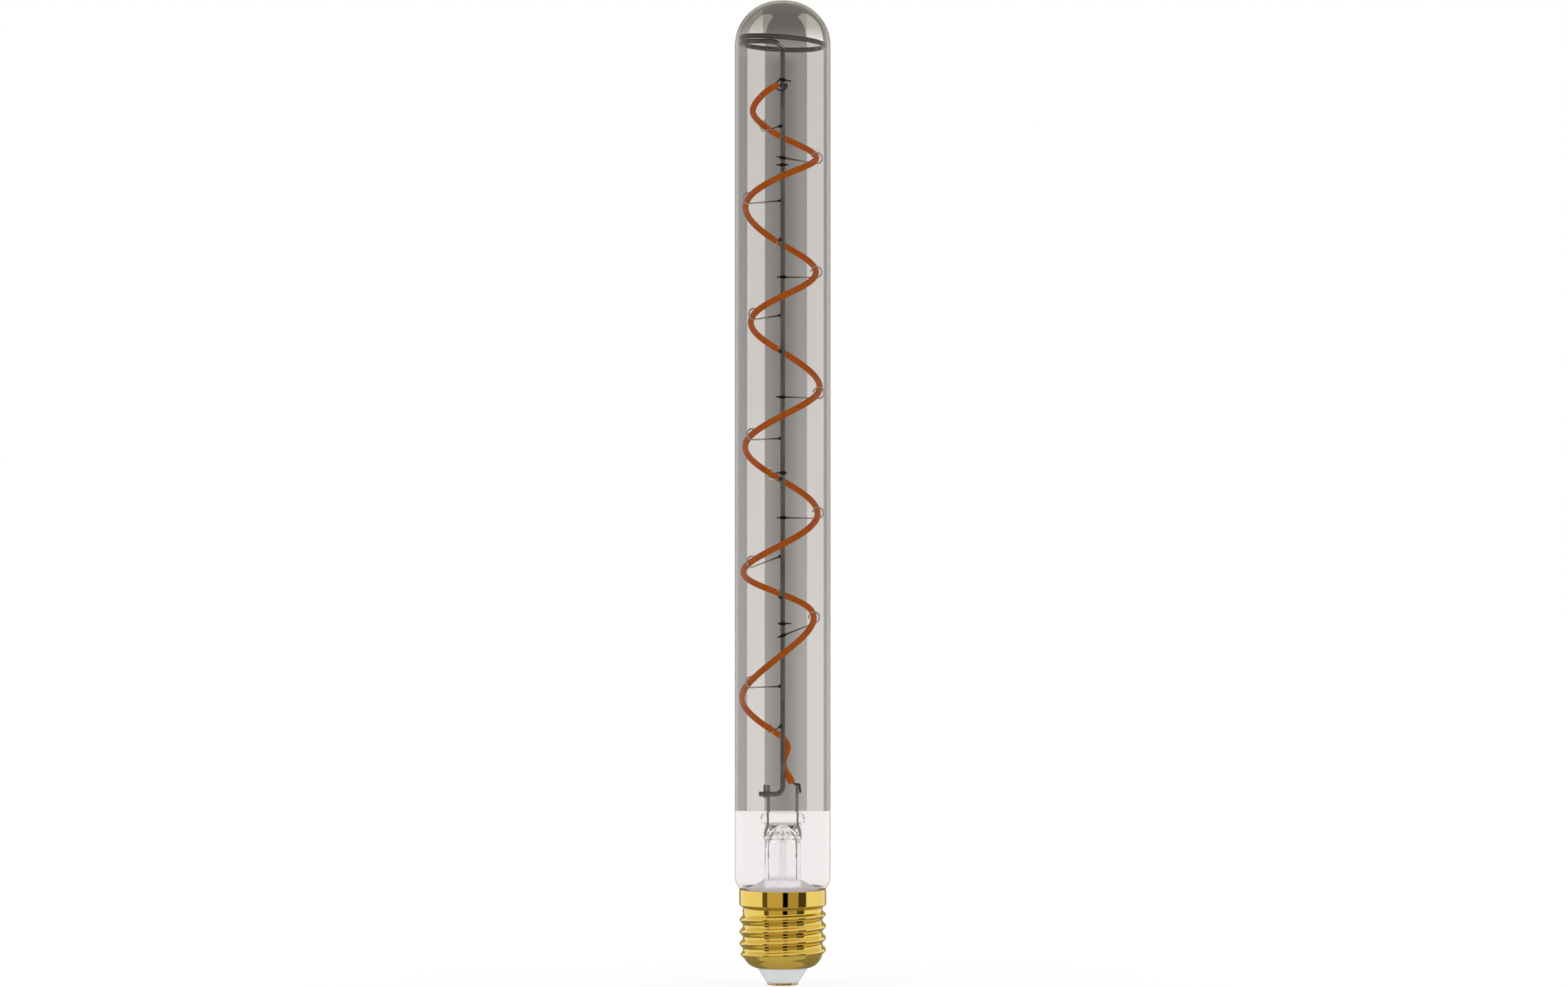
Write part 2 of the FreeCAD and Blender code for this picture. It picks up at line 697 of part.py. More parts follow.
# For each way: which side of the rod the wire lies on, seen along it from the rod, and its stub past the weld.
HOOK_WAYS = {"right": (-1, 1.9), "left": (-1, 1.1), "back": (1, 1.3)}
hook_wire = value_of(size("hook_wire"))
hook_offset = rod / 2 + hook_wire / 2
loop = value_of(size("hook_loop_radius"))


def hook_body(label, place, stub, reach, loop_turn):
    """A wire along X from its stub to the foot of its eye, and the eye's arc above it.

    The eye is drawn as two quarter arcs and the rest of its turn. Two of the wire's six flats stand upright.
    """
    body = new_body(label)
    radius = size("hook_loop_radius")
    last = "(%s - 90)" % loop_turn
    path = new_sketch(body, label + "_path")
    draw_outline(path, [
        (-stub, 0),
        (reach, 0, (radius, 1)),
        ("%.6f + %s" % (reach, radius), radius, (radius, 1)),
        (reach, "2 * " + radius, (radius, 1)),
        ("%.6f + %s * cos(%s)" % (reach, radius, last), "%s + %s * sin(%s)" % (radius, radius, last)),
    ], closed=False)
    section = new_sketch(body, label + "_section", "YZ_Plane", -stub)
    spoke = "%s / cos(30)" % half("hook_wire")
    angles = [30 + 60 * corner for corner in range(6)]
    draw_outline(section, [("%s * cos(%d)" % (spoke, a), "%s * sin(%d)" % (spoke, a)) for a in angles])
    pipe = body.newObject("PartDesign::AdditivePipe", label + "_wire")
    pipe.Profile = section
    pipe.Spine = path
    body.Placement = place


def add_hook(number, quarter, rise, way):
    """One hook, aimed from its weld on the rod so that its eye goes round the strand."""
    side, stub = HOOK_WAYS[way]
    strand = on_spiral(quarter)
    weld_z = strand.z + rise
    centre = Vector(0, rod_y, 0)
    flat = Vector(strand.x, strand.y, 0)
    limit = value_of(tube_inner) - value_of(size("hook_glass_gap")) - loop - hook_wire * 0.6 - flat.Length
    outward = min(value_of(size("hook_outward")), limit)
    eye = flat + (flat - centre).normalize() * outward
    away = eye - centre
    bearing = math.atan2(away.y, away.x) - side * math.asin(hook_offset / away.Length)
    along = math.sqrt(away.Length ** 2 - hook_offset ** 2)
    weld = eye - Vector(math.cos(bearing), math.sin(bearing), 0) * along
    distance = math.hypot(along, strand.z - weld_z)
    slope = math.atan2(strand.z - weld_z, along) - math.asin(loop / distance)
    turn = Rotation(Vector(0, 0, 1), math.degrees(bearing)) * Rotation(Vector(0, -1, 0), math.degrees(slope))
    place = Placement(Vector(weld.x, weld.y, weld_z), turn)
    reach = math.sqrt(distance ** 2 - loop ** 2)
    hook_body("filament_hook_%02d" % number, place, stub, reach, size("hook_loop_angle"))


for number, hook in enumerate(HOOKS, 1):
    add_hook(number, *hook)

# One more hook hangs upside down on the front of the rod's top, its eye beside the strand's head.
TOP_HOOK_START = (2.4, 0.89678)
TOP_HOOK_REACH = 2.53
TOP_HOOK_SLOPE = 9.0
top_turn = Rotation(Vector(0, 0, 1), 180) * Rotation(Vector(1, 0, 0), 180)
top_turn = top_turn * Rotation(Vector(0, 1, 0), TOP_HOOK_SLOPE)
top_place = Vector(TOP_HOOK_START[0], rod_y - hook_offset, at_height(TOP_HOOK_START[1]))
hook_body("top_hook", Placement(top_place, top_turn), 0, TOP_HOOK_REACH, size("top_hook_angle"))

# Three short ends of fine wire cross the front of the rod, where hooks were cut off.
# Each row is its share of the way up to the crown, its left end and its length.
CUT_ENDS = [(0.79022, -2.0, 3.6), (0.39824, -2.0, 2.8), (0.20644, -1.4, 4.0)]
cut_y = "-(%s + (%s + %s) / 2)" % (size("rod_offset"), size("rod_diameter"), size("hook_wire"))
for number, (share, left, length) in enumerate(CUT_ENDS, 1):
    place = ("%.3f" % left, cut_y, "%.3f" % at_height(share))
    straight_wire("cut_wire_%d" % number, size("hook_wire"), place, "%.3f" % length, Rotation(Vector(0, 1, 0), 90))

# The screw cap, drawn from thin sheet: a round bowl at its foot, a rolled thread, and a plain band at its rim.
root = half("thread_root")
sheet_inner = "(%s - %s)" % (root, size("cap_sheet"))
band_foot = "(%s - %s)" % (size("cap_height"), size("band_height"))
shoulder_foot = "(%s - %s)" % (band_foot, size("band_shoulder"))
bowl = size("bowl_radius")
bowl_inner = "(%s - %s)" % (bowl, size("cap_sheet"))
bowl_x = "(%s - %s)" % (root, bowl)
bowl_z = "(%s + %s)" % (size("bowl_height"), bowl)
opening = half("bowl_opening")


def on_bowl(radius, x):
    """A point of the bowl's round foot at a distance from the axis."""
    return x, "(%s - sqrt(%s ^ 2 - (%s - %s) ^ 2))" % (bowl_z, radius, x, bowl_x)


screw_shell = turned_body("screw_shell", [
    (*on_bowl(bowl, opening), (bowl, 1)),
    (root, bowl_z),
    (root, shoulder_foot),
    (band, band_foot),
    (band, size("cap_height")),
    (band_inner, size("cap_height")),
    (band_inner, "%s + %s" % (band_foot, size("cap_sheet"))),
    (sheet_inner, "%s + %s" % (shoulder_foot, size("cap_sheet"))),
    (sheet_inner, bowl_z, (bowl_inner, -1)),
    on_bowl(bowl_inner, opening),
])

# The thread's ridge starts on the left, is wound up to the band, and fades out at both its ends.
crest = half("thread_diameter")
rooted = "(%s - %s / 3)" % (root, size("cap_sheet"))
ridge = new_sketch(screw_shell, "ridge")
start_z = size("thread_start")
thread_height = "(%s - %s - %s)" % (shoulder_foot, size("thread_below_band"), start_z)
draw_outline(ridge, [
    ("-" + rooted, "%s - %s / 2" % (start_z, size("flank_width"))),
    ("-" + rooted, "%s + %s / 2" % (start_z, size("flank_width"))),
    ("-" + crest, "%s + %s / 2" % (start_z, size("crest_width"))),
    ("-" + crest, "%s - %s / 2" % (start_z, size("crest_width"))),
])
thread = screw_shell.newObject("PartDesign::AdditiveHelix", "Thread")
thread.Profile = ridge
thread.ReferenceAxis = (ridge, ["V_Axis"])
thread.Mode = 0
thread.Pitch = value_of(size("thread_pitch"))
thread.Height = value_of(thread_height)
thread.setExpression("Pitch", size("thread_pitch"))
thread.setExpression("Height", thread_height)
thread.LeftHanded = False
thread.Reversed = False

outside = "(%s + 1)" % crest
fade_slope = "(%s / (%s - %s))" % (size("thread_fade"), crest, root)
fade_low = "(%s - %s / 6)" % (start_z, size("crest_width"))
turned(screw_shell, "Fade_in", [
    (root, "%s - %s" % (start_z, size("flank_width"))),
    (outside, "%s - %s" % (start_z, size("flank_width"))),
    (outside, "%s + (%s - %s) * %s" % (fade_low, outside, root, fade_slope)),
    (root, fade_low),
], "PartDesign::Groove")
turned(screw_shell, "Fade_out", [
    (root, shoulder_foot),
    (outside, "%s - (%s - %s) * %s" % (shoulder_foot, outside, root, fade_slope)),
    (outside, shoulder_foot),
], "PartDesign::Groove")

# The insulator moulded into the bowl, and the centre contact on its foot, with a pin up its bore.
insulator_bore = half("insulator_bore")
contact_top = size("contact_thickness")
insulator_edge = half("insulator_top_diameter")
turned_body("insulator", [
    (half("insulator_foot_diameter"), contact_top),
    on_bowl(bowl, opening),
    (*on_bowl(bowl_inner, opening), (bowl_inner, 1)),
    on_bowl(bowl_inner, insulator_edge),
    (insulator_edge, size("insulator_top")),
    (insulator_bore, size("insulator_top")),
    (insulator_bore, contact_top),
])
contact = half("contact_diameter")
contact_edge = size("contact_edge_radius")
contact_pin_top = "(%s + %s)" % (contact_top, size("contact_pin_height"))
turned_body("centre_contact", [
    (0, 0),
    ("%s - %s" % (contact, contact_edge), 0, (contact_edge, 1)),
    (contact, contact_edge),
    (contact, contact_top),
    (insulator_bore, contact_top),
    (insulator_bore, contact_pin_top),
    (0, contact_pin_top),
])

# The cement that fills the ring between the cap's band and the bulb's shoulder.
cement_top = "(%s - %s)" % (size("cap_height"), size("cement_below_rim"))
cement_foot = "(%s - %s)" % (cement_top, size("cement_height"))
cement_x = "(%s + sqrt(%s ^ 2 - (%s - %s) ^ 2))" % (shoulder_x, shoulder, shoulder_z, cement_top)
turned_body("cement_ring", [
    (seal_outer[0], cement_foot),
    (band_inner, cement_foot),
    (band_inner, cement_top),
    (cement_x, cement_top, (shoulder, -1)),
    seal_outer,
])

# The driver: a round board on the insulator, and what it needs to feed the strand from the mains.
inner_wire = size("inner_wire_diameter")
turned_body("driver_board", [
    ("%s / 2" % inner_wire, size("insulator_top")),
    (half("board_diameter"), size("insulator_top")),
    (half("board_diameter"), board_top),
    ("%s / 2" % inner_wire, board_top),
])
capacitor = half("capacitor_diameter")
capacitor_top = size("capacitor_length")
CRIMP_HEIGHT = 1.2
CRIMP_DEPTH = 0.25
smoothing_capacitor = turned_body("smoothing_capacitor", [
    (0, 0),
    (capacitor, 0),
    (capacitor, CRIMP_HEIGHT - CRIMP_DEPTH),
    ("%s - %.2f" % (capacitor, CRIMP_DEPTH), CRIMP_HEIGHT),
    (capacitor, CRIMP_HEIGHT + CRIMP_DEPTH),
    (capacitor, "%s - %.2f" % (capacitor_top, CRIMP_DEPTH)),
    ("%s - %.2f" % (capacitor, CRIMP_DEPTH), capacitor_top),
    (0, capacitor_top),
])
smoothing_capacitor.setExpression("Placement.Base.x", size("capacitor_offset"))
smoothing_capacitor.setExpression("Placement.Base.z", board_top)
block(
    "bridge_rectifier", size("rectifier_length"), size("rectifier_width"), size("rectifier_height"),
    ("-7.5", "1.1", board_top),
)
block(
    "driver_chip", size("chip_length"), size("chip_width"), size("chip_height"),
    ("-" + half("chip_length"), "-7.5", board_top),
)
straight_wire(
    "fusible_resistor", size("resistor_diameter"),
    ("-8", "-3", "%s + %s" % (board_top, half("resistor_diameter"))), size("resistor_length"),
    Rotation(Vector(0, 1, 0), 90),
)

# The wires from the board: down the insulator's bore to the contact, and up to the inside of the shell.
SOLDERED_END = 0.4
live_length = "%s + %.2f - %s" % (board_top, SOLDERED_END, contact_pin_top)
straight_wire("live_wire", inner_wire, ("0", "0", contact_pin_top), live_length)
against_shell = value_of(sheet_inner) - value_of(inner_wire) / 2
shell_wire_points = [
    Vector(-9.0, 0, lead_end_z),
    Vector(-9.0, 0, lead_end_z + 2.8),
    Vector(-against_shell, 0, lead_end_z + 5.2),
    Vector(-against_shell, 0, lead_end_z + 9.8),
]
shaped("shell_wire", wire_solid(shell_wire_points, value_of(inner_wire)))

# Everything is checked before anything is written.
doc.recompute()
for item in doc.Objects:
    if "Invalid" in item.State or "Error" in item.State:
        raise RuntimeError("%s did not build: %s" % (item.Name, item.State))
for piece in pieces:
    if piece.Shape.isNull() or not piece.Shape.isValid():
        raise RuntimeError("%s has no sound shape" % piece.Label)

os.makedirs("parts", exist_ok=True)
for piece in pieces:
    piece.Shape.exportStep("parts/%s.step" % piece.Label)
    print("%-26s %10.2f mm3" % (piece.Label, piece.Shape.Volume))
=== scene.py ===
# %% [markdown]
# # A tubular lamp of smoked glass with a hanging spiral
# The lamp is 300 mm long. A dark rod carries an amber strand on fine hooks inside a thin glass tube, and the tube
# stands on a gold screw cap. The packed model is loaded first and never changes. It gives every place and size,
# and the pieces below are laid over it in metres.

# %% Load the frame
import math
import bpy
import numpy as np
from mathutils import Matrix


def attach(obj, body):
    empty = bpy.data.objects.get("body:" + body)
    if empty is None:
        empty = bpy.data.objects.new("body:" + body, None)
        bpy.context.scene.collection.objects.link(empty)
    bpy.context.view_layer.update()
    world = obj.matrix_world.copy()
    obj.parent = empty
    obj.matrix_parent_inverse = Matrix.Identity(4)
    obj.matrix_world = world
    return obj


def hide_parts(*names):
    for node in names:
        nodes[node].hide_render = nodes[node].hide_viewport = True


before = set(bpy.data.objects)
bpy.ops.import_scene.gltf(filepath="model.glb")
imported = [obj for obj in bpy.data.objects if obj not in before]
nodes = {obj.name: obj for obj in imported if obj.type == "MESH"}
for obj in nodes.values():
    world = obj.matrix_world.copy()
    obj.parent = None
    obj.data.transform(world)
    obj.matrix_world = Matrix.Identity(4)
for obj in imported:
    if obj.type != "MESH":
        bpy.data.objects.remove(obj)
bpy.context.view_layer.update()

MM = 0.001

# %% [markdown]
# ## Objects without the operators
# Everything here starts as an object that is linked into the scene. The operators of the menus could add one, but
# they depend on what is selected and on the mode, so two small helpers work with the data alone.

# %% Objects from points
def linked(name, data):
    """An object for a mesh, a lamp or a camera, put into the scene."""
    made = bpy.data.objects.new(name, data)
    bpy.context.scene.collection.objects.link(made)
    return made


def mesh_object(name, points, faces):
    """An object whose mesh has these points, in metres, and faces."""
    mesh = bpy.data.meshes.new(name)
    mesh.from_pydata(points.tolist(), [], faces)
    return linked(name, mesh)


# %% [markdown]
# ## One way to make every surface
# Almost everything in a lamp is round: blown glass, rolled sheet and drawn wire. Each surface is therefore a grid of
# points. A row is one station along the piece, and its columns go once round it. Spin or curve objects could do the
# same, but a grid gives the exact edges, the closed ends and a map along the piece for its finish.

# %% A skin on a grid of points
def skin(name, grid, closed=False, hollow=False, crease=40):
    """A mesh on rows x columns of points, in millimetres, with its columns wrapped round.

    Corners (r, c), (r, c + 1), (r + 1, c + 1) and (r + 1, c) make a face. The rows close into a loop, or the first
    and last row each get a fan to their middle. The sum of a . (b x c) over the triangles is six times the volume,
    and a negative one turns the faces round. A hollow's faces point into it.
    """
    rows, columns = grid.shape[:2]
    points = grid.reshape(-1, 3)
    row = np.arange(rows if closed else rows - 1)[:, None]
    column = np.arange(columns)[None, :]
    beside = (column + 1) % columns
    here, above = row * columns, (row + 1) % rows * columns
    quads = np.stack([here + column, here + beside, above + beside, above + column], -1).reshape(-1, 4)
    steps = np.linalg.norm(np.diff(grid, axis=0, append=grid[:1]), axis=2).mean(1)
    along = np.concatenate([[0], np.cumsum(steps)]) * MM
    around = np.stack(np.broadcast_arrays(column, column + 1, column + 1, column), -1) / columns
    lengths = np.stack(np.broadcast_arrays(along[row], along[row], along[row + 1], along[row + 1]), -1)
    uv = np.stack(np.broadcast_arrays(around, lengths), -1).reshape(-1, 4, 2)
    fans = np.zeros((0, 3), int)
    if not closed:
        last = (rows - 1) * columns
        low, high = np.full(columns, len(points)), np.full(columns, len(points) + 1)
        fans = np.vstack([
            np.stack([low, beside[0], column[0]], -1),
            np.stack([high, last + column[0], last + beside[0]], -1),
        ])
        points = np.vstack([points, grid[0].mean(0), grid[-1].mean(0)])
    triangles = np.vstack([quads[:, [0, 1, 2]], quads[:, [0, 2, 3]], fans])
    a, b, c = (points[triangles[:, corner]] for corner in range(3))
    volume = np.einsum("ij,ij->i", a, np.cross(b, c)).sum() / 6
    uv_fans = np.zeros((len(fans), 3, 2)) + [0.5, 0]
    if (volume < 0) != hollow:
        quads, fans, uv = quads[:, ::-1], fans[:, ::-1], uv[:, ::-1]
    piece = mesh_object(name, points * MM, quads.tolist() + fans.tolist())
    layer = piece.data.uv_layers.new(name="along")
    layer.data.foreach_set("uv", np.concatenate([uv.ravel(), uv_fans.ravel()]).astype(np.float32))
    piece.data.shade_smooth()
    piece.data.set_sharp_from_angle(angle=math.radians(crease))
    return piece, abs(volume)

# %% [markdown]
# ## A piece in its place
# A glass tube needs two skins, its outside and its bore. The skins of a piece are joined and share one finish. The
# piece is then tied to the model: it rides on the lamp's one body and stands for the nodes whose shape it takes.

# %% Place a piece
def place(skins, replaced, material):
    """Joins skins into the first of them, gives it its finish and lets it stand for its nodes of the model."""
    piece = skins[0][0]
    if len(skins) > 1:
        with bpy.context.temp_override(active_object=piece, selected_editable_objects=[one[0] for one in skins]):
            bpy.ops.object.join()
    piece.data.materials.clear()
    piece.data.materials.append(material)
    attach(piece, "root")
    if replaced:
        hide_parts(*replaced)
    print(piece.name, "faces", len(piece.data.polygons), "volume mm3", round(skins[0][1], 1))

# %% [markdown]
# ## Profiles to turn
# Blown glass and rolled sheet are round about the lamp's axis, so each is a profile of radius and height that is
# turned. Glass and sheet have no sharp corners, and an arc in the profile gives each bend its true radius.

# %% Arcs and turned profiles
def arc(centre, radius, start, stop, count=12):
    """Points of a circle, centre + radius (cos t, sin t), for t from start to stop in degrees."""
    t = np.radians(np.linspace(start, stop, count))
    return np.stack([centre[0] + radius * np.cos(t), centre[1] + radius * np.sin(t)], -1)


def side_line(radius, start, stop, count):
    """Points (radius, z) of a profile, for z from start to stop."""
    return np.stack([np.full(count, radius), np.linspace(start, stop, count)], -1)


def turned(profile, sides=160):
    """A profile of (r, z) at each angle a: (r cos a, r sin a, z)."""
    angle = np.linspace(0, 2 * np.pi, sides, endpoint=False)
    radius, height = profile[:, :1], profile[:, 1:]
    return np.stack([radius * np.cos(angle), radius * np.sin(angle), height + 0 * angle], -1)


print("a quarter arc of 2 mm ends at", arc((0, 0), 2, 0, 90)[-1].round(3))

# %% [markdown]
# ## Paths to follow
# Stiff wire is bent round a pin, so its corners are true arcs. A soft strand has no corners at all, and a smooth
# curve through the middle of its points hangs like one. Both are worked out as plain points, which can be measured.

# %% Paths with round bends, and smooth ones
def bent(points, bends, count=8):
    """A line through points whose corners are arcs of the given radii.

    A corner that turns by t is cut back by r tan(t / 2) on both sides, and the arc's middle lies on the bisector.
    """
    path = [points[:1]]
    for before, corner, after, radius in zip(points, points[1:], points[2:], bends):
        back, on = before - corner, after - corner
        back, on = back / np.linalg.norm(back), on / np.linalg.norm(on)
        turn = np.pi - np.arccos(np.clip(back @ on, -1, 1))
        bisector = (back + on) / np.linalg.norm(back + on)
        middle = corner + bisector * radius / np.cos(turn / 2)
        inward = (on - back) / np.linalg.norm(on - back)
        t = np.linspace(-turn / 2, turn / 2, count)[:, None]
        path.append(middle - bisector * radius * np.cos(t) + inward * radius * np.sin(t))
    return np.vstack(path + [points[-1:]])


def smooth_line(points, count=8):
    """A uniform cubic B-spline inside the points' polygon, which starts and ends at its ends.

    Four points in a row weigh (1-s)^3, 3s^3 - 6s^2 + 4, -3s^3 + 3s^2 + 3s + 1 and s^3, all over six.
    """
    full = np.vstack([2 * points[:1] - points[1:2], points, 2 * points[-1:] - points[-2:-1]])
    s = np.linspace(0, 1, count, endpoint=False)[None, :, None]
    a, b, c, d = (full[k:len(full) - 3 + k][:, None] for k in range(4))
    line = (1 - s) ** 3 * a + (3 * s ** 3 - 6 * s ** 2 + 4) * b
    line = line + (1 + 3 * s + 3 * s ** 2 - 3 * s ** 3) * c + s ** 3 * d
    return np.vstack([(line / 6).reshape(-1, 3), points[-1:]])


print("one bend has", len(bent(np.array([(0, 0, 0), (5, 0, 0), (5, 5, 0)], float), [1.0])), "points")

# %% [markdown]
# ## Sections to carry
# A wire is a small ring that is carried along its path. The ring's frame is handed on from one station to the next
# by the turn between the two directions, which keeps a wire from twisting where a fixed upright would flip. Cut wire
# has a slightly rounded end, and so has a coated strand.

# %% Sections carried along a path
def carried(path, section, rounding=0.0):
    """The section (across, up) set square to the path at each point, its edges rounded at both ends.

    The frame's side vector is handed on by taking away its part along the new direction.
    """
    ahead = np.gradient(path, axis=0)
    ahead /= np.linalg.norm(ahead, axis=1)[:, None]
    side = np.cross(ahead[0], [0.31, 0.95, 0.05] if abs(ahead[0, 1]) < 0.8 else [1, 0, 0])
    sides = []
    for direction in ahead:
        side = side - direction * (side @ direction)
        side = side / np.linalg.norm(side)
        sides.append(side)
    sides = np.array(sides)
    ups = np.cross(ahead, sides)
    grid = path[:, None] + section[None, :, :1] * sides[:, None] + section[None, :, 1:] * ups[:, None]
    if rounding:
        t = np.radians([0, 30, 60])[:, None, None]
        for end, way in ((0, -1), (-1, 1)):
            middle, rim = path[end], grid[end] - path[end]
            size = np.linalg.norm(rim, axis=1).mean()
            rings = middle + rim * (1 - rounding / size * (1 - np.cos(t))) + way * ahead[end] * rounding * np.sin(t)
            grid = np.vstack([rings[:0:-1], grid]) if end == 0 else np.vstack([grid, rings[1:]])
    return grid


def ring(radius, sides=16, flat=1.0):
    """A round section, or an oval one when flat isn't 1."""
    t = np.linspace(0, 2 * np.pi, sides, endpoint=False)
    return np.stack([radius * np.cos(t), radius * flat * np.sin(t)], -1)


print("a ring of 8 points on 3 stations gives", carried(np.eye(3), ring(1.0, 8)).shape)

# %% [markdown]
# ## Sums with sockets
# A finish is a small calculation on a place: how high, how far round, how rough. Written as nodes it is a heap of
# boxes. Here one class wraps a socket, and an ordinary sum in Python adds the Math nodes that work it out.

# %% A socket that can be used in sums
class Socket:
    """An output of a node. Sums add Math nodes, and node() adds any other kind."""

    def __init__(self, tree, link=None):
        self.tree = tree
        self.link = link

    def node(self, kind, settings=None, inputs=None, output=0):
        """A node of a kind, with its settings made first and then its inputs, which are numbers or sockets."""
        made = self.tree.nodes.new("ShaderNode" + kind)
        for name, value in (settings or {}).items():
            setattr(made, name, value)
        for name, value in (inputs or {}).items():
            if isinstance(value, Socket):
                self.tree.links.new(value.link, made.inputs[name])
            else:
                made.inputs[name].default_value = value
        return Socket(self.tree, made.outputs[output]) if made.outputs else None

    def maths(self, operation, first, second=0.0):
        return self.node("Math", {"operation": operation}, {0: first, 1: second})

    def __add__(self, other):
        return self.maths("ADD", self, other)

    def __sub__(self, other):
        return self.maths("SUBTRACT", self, other)

    def __rsub__(self, other):
        return self.maths("SUBTRACT", other, self)

    def __mul__(self, other):
        return self.maths("MULTIPLY", self, other)

    __radd__, __rmul__ = __add__, __mul__

    def part(self, axis):
        """One part of a vector, X, Y or Z."""
        return self.node("SeparateXYZ", inputs={"Vector": self}, output=axis)

    def ramp(self, low, high, bottom=0.0, top=1.0):
        """A smooth step from bottom to top as the value goes from low to high."""
        limits = {"Value": self, "From Min": low, "From Max": high, "To Min": bottom, "To Max": top}
        return self.node("MapRange", {"interpolation_type": "SMOOTHSTEP"}, limits)

    def blend(self, first, second):
        """A colour between two, by this value."""
        first, second = (one if isinstance(one, Socket) else (*one, 1) for one in (first, second))
        return self.node("Mix", {"data_type": "RGBA"}, {0: self, 6: first, 7: second}, 2)

    def noise(self, scale, detail=3.0, stretch=(1, 1, 1)):
        """Noise at a scale per metre, drawn out along an axis by a small stretch."""
        where = self.node("Mapping", inputs={"Vector": self, "Scale": stretch})
        return self.node("TexNoise", inputs={"Vector": where, "Scale": scale, "Detail": detail})

    def bump(self, distance, strength=1.0):
        """A normal from this value as a height, in metres."""
        return self.node("Bump", inputs={"Height": self, "Distance": distance, "Strength": strength})


print("a socket can", [name for name in vars(Socket) if not name.startswith("_")])

# %% [markdown]
# ## Finishes
# A finish is one Principled shader whose inputs come from such sums. Where two materials share a surface, like cement
# that is smeared on glass, a second shader covers the first, and a share says where.

# %% A finish from one shader
def empty_nodes(owner):
    """A start for the nodes of a material or a world, whose own ones are cleared."""
    owner.use_nodes = True
    owner.node_tree.nodes.clear()
    return Socket(owner.node_tree)


def finish(name, build, cover=None):
    """A material of one Principled shader whose inputs are given by build(start, place).

    A cover is a second one, for instance a smear on glass, and a share that says where it lies.
    """
    material = bpy.data.materials.new(name)
    start = empty_nodes(material)
    place_on = start.node("TexCoord", output="Object")
    shader = start.node("BsdfPrincipled", inputs=build(start, place_on))
    if cover:
        share, inputs = cover(start, place_on)
        shader = start.node("MixShader", inputs={0: share, 1: shader, 2: start.node("BsdfPrincipled", inputs=inputs)})
    start.node("OutputMaterial", inputs={"Surface": shader})
    return material


print("a finish is one Principled shader, with a cover where one is given")

# %% [markdown]
# ## Smoked glass
# The tube is clear glass with a thin grey film above a sharp line, as if it had been dipped. Light crosses two walls
# on its way through the lamp, and each lets a little over half of it pass. A tinted, fully transmitting Principled
# shader does this with real walls. The film is a little denser in the dome, faintly uneven, and the drawn tube is
# never quite flat, which the bump shows in its reflections. Real glass bends light by 1.46, but in a white room its
# own mirroring would lay a veil over the strand, so the thin bulb has a lower index and a darker mirror.

# %% The smoked and the clear finish of the bulb
GLASS, THIN_GLASS = 1.46, 1.28
SMOKE_LINE, LINE_TILT, LINE_BLUR = 52.9 * MM, 0.062, 0.05 * MM
SMOKE, MAUVE = (0.545, 0.534, 0.519), (0.537, 0.517, 0.508)
DENSE, RIM, DOME_RIM = (0.355, 0.340, 0.320), (0.26, 0.25, 0.24), (0.07, 0.066, 0.062)
CLEAR = (0.912, 0.899, 0.894)


def smoked_glass(start, where):
    height = where.part("Z")
    depth = where.part("Y")
    film = (height + depth * LINE_TILT).ramp(SMOKE_LINE - LINE_BLUR, SMOKE_LINE + LINE_BLUR)
    dense = height.ramp(285 * MM, 293 * MM)
    cloud = where.noise(60, 2, (1, 1, 0.3)).ramp(0.45, 0.75)
    edge = start.node("LayerWeight", inputs={"Blend": 0.5}, output="Facing").ramp(0.5, 1.0)
    drawn = where.noise(70, 1, (1, 1, 0.05))
    smoke = dense.blend(cloud.blend(SMOKE, MAUVE), DENSE)
    return {
        "Base Color": film.blend(CLEAR, edge.blend(smoke, dense.blend(RIM, DOME_RIM))),
        "Roughness": 0.0,
        "IOR": THIN_GLASS,
        "Specular Tint": (0.4, 0.4, 0.4, 1),
        "Transmission Weight": 1.0,
        "Normal": drawn.bump(0.06 * MM, 0.15),
    }


smoke_material = finish("smoked_glass_film", smoked_glass)
print("smoke starts at", SMOKE_LINE, "m")

# %% [markdown]
# ## The bulb
# The bulb is a tube with a domed top and a rounded shoulder, blown in one piece. A single surface with a Solidify
# modifier would do, but here the profile runs down the outside and back up the inside, so that the rim at the cap
# has its real edge and the light meets both faces of the wall.

# %% Turn the bulb
TUBE, WALL = 14.6, 0.75
SHOULDER, DOME_SIDE, CROWN = (9.5, 32.9), (0.9, 286.22), (0.0, 281.1)
SHOULDER_RADIUS, DOME_RADIUS, CROWN_RADIUS = 5.1, 13.7, 18.9
DOME_MEETS_CROWN = 80.03


def bulb_face(offset):
    """The bulb's profile from crown to rim, moved in by an offset: two arcs, a straight and the shoulder's arc."""
    return np.vstack([
        arc(CROWN, CROWN_RADIUS - offset, 89.9, DOME_MEETS_CROWN, 8),
        arc(DOME_SIDE, DOME_RADIUS - offset, DOME_MEETS_CROWN, 0, 40)[1:],
        side_line(TUBE - offset, 280, 39, 38),
        arc(SHOULDER, SHOULDER_RADIUS - offset, 0, -70, 18),
    ])


place(
    [skin("bulb_glass", turned(np.vstack([bulb_face(0), bulb_face(WALL)[::-1]]), 192))],
    ["glass_envelope"], smoke_material,
)

# %% [markdown]
# ## The stem and its press
# The leads enter through a glass stem: a tube whose foot is flared out to the bulb's rim and whose top is heated and
# pinched flat. The pinch leaves ears at both sides and a blown port at the front. A boolean union of plain solids
# would show hard joins, so the section itself changes with height, from a circle to a rounded slab, and the port is a
# dent that presses the front face in.

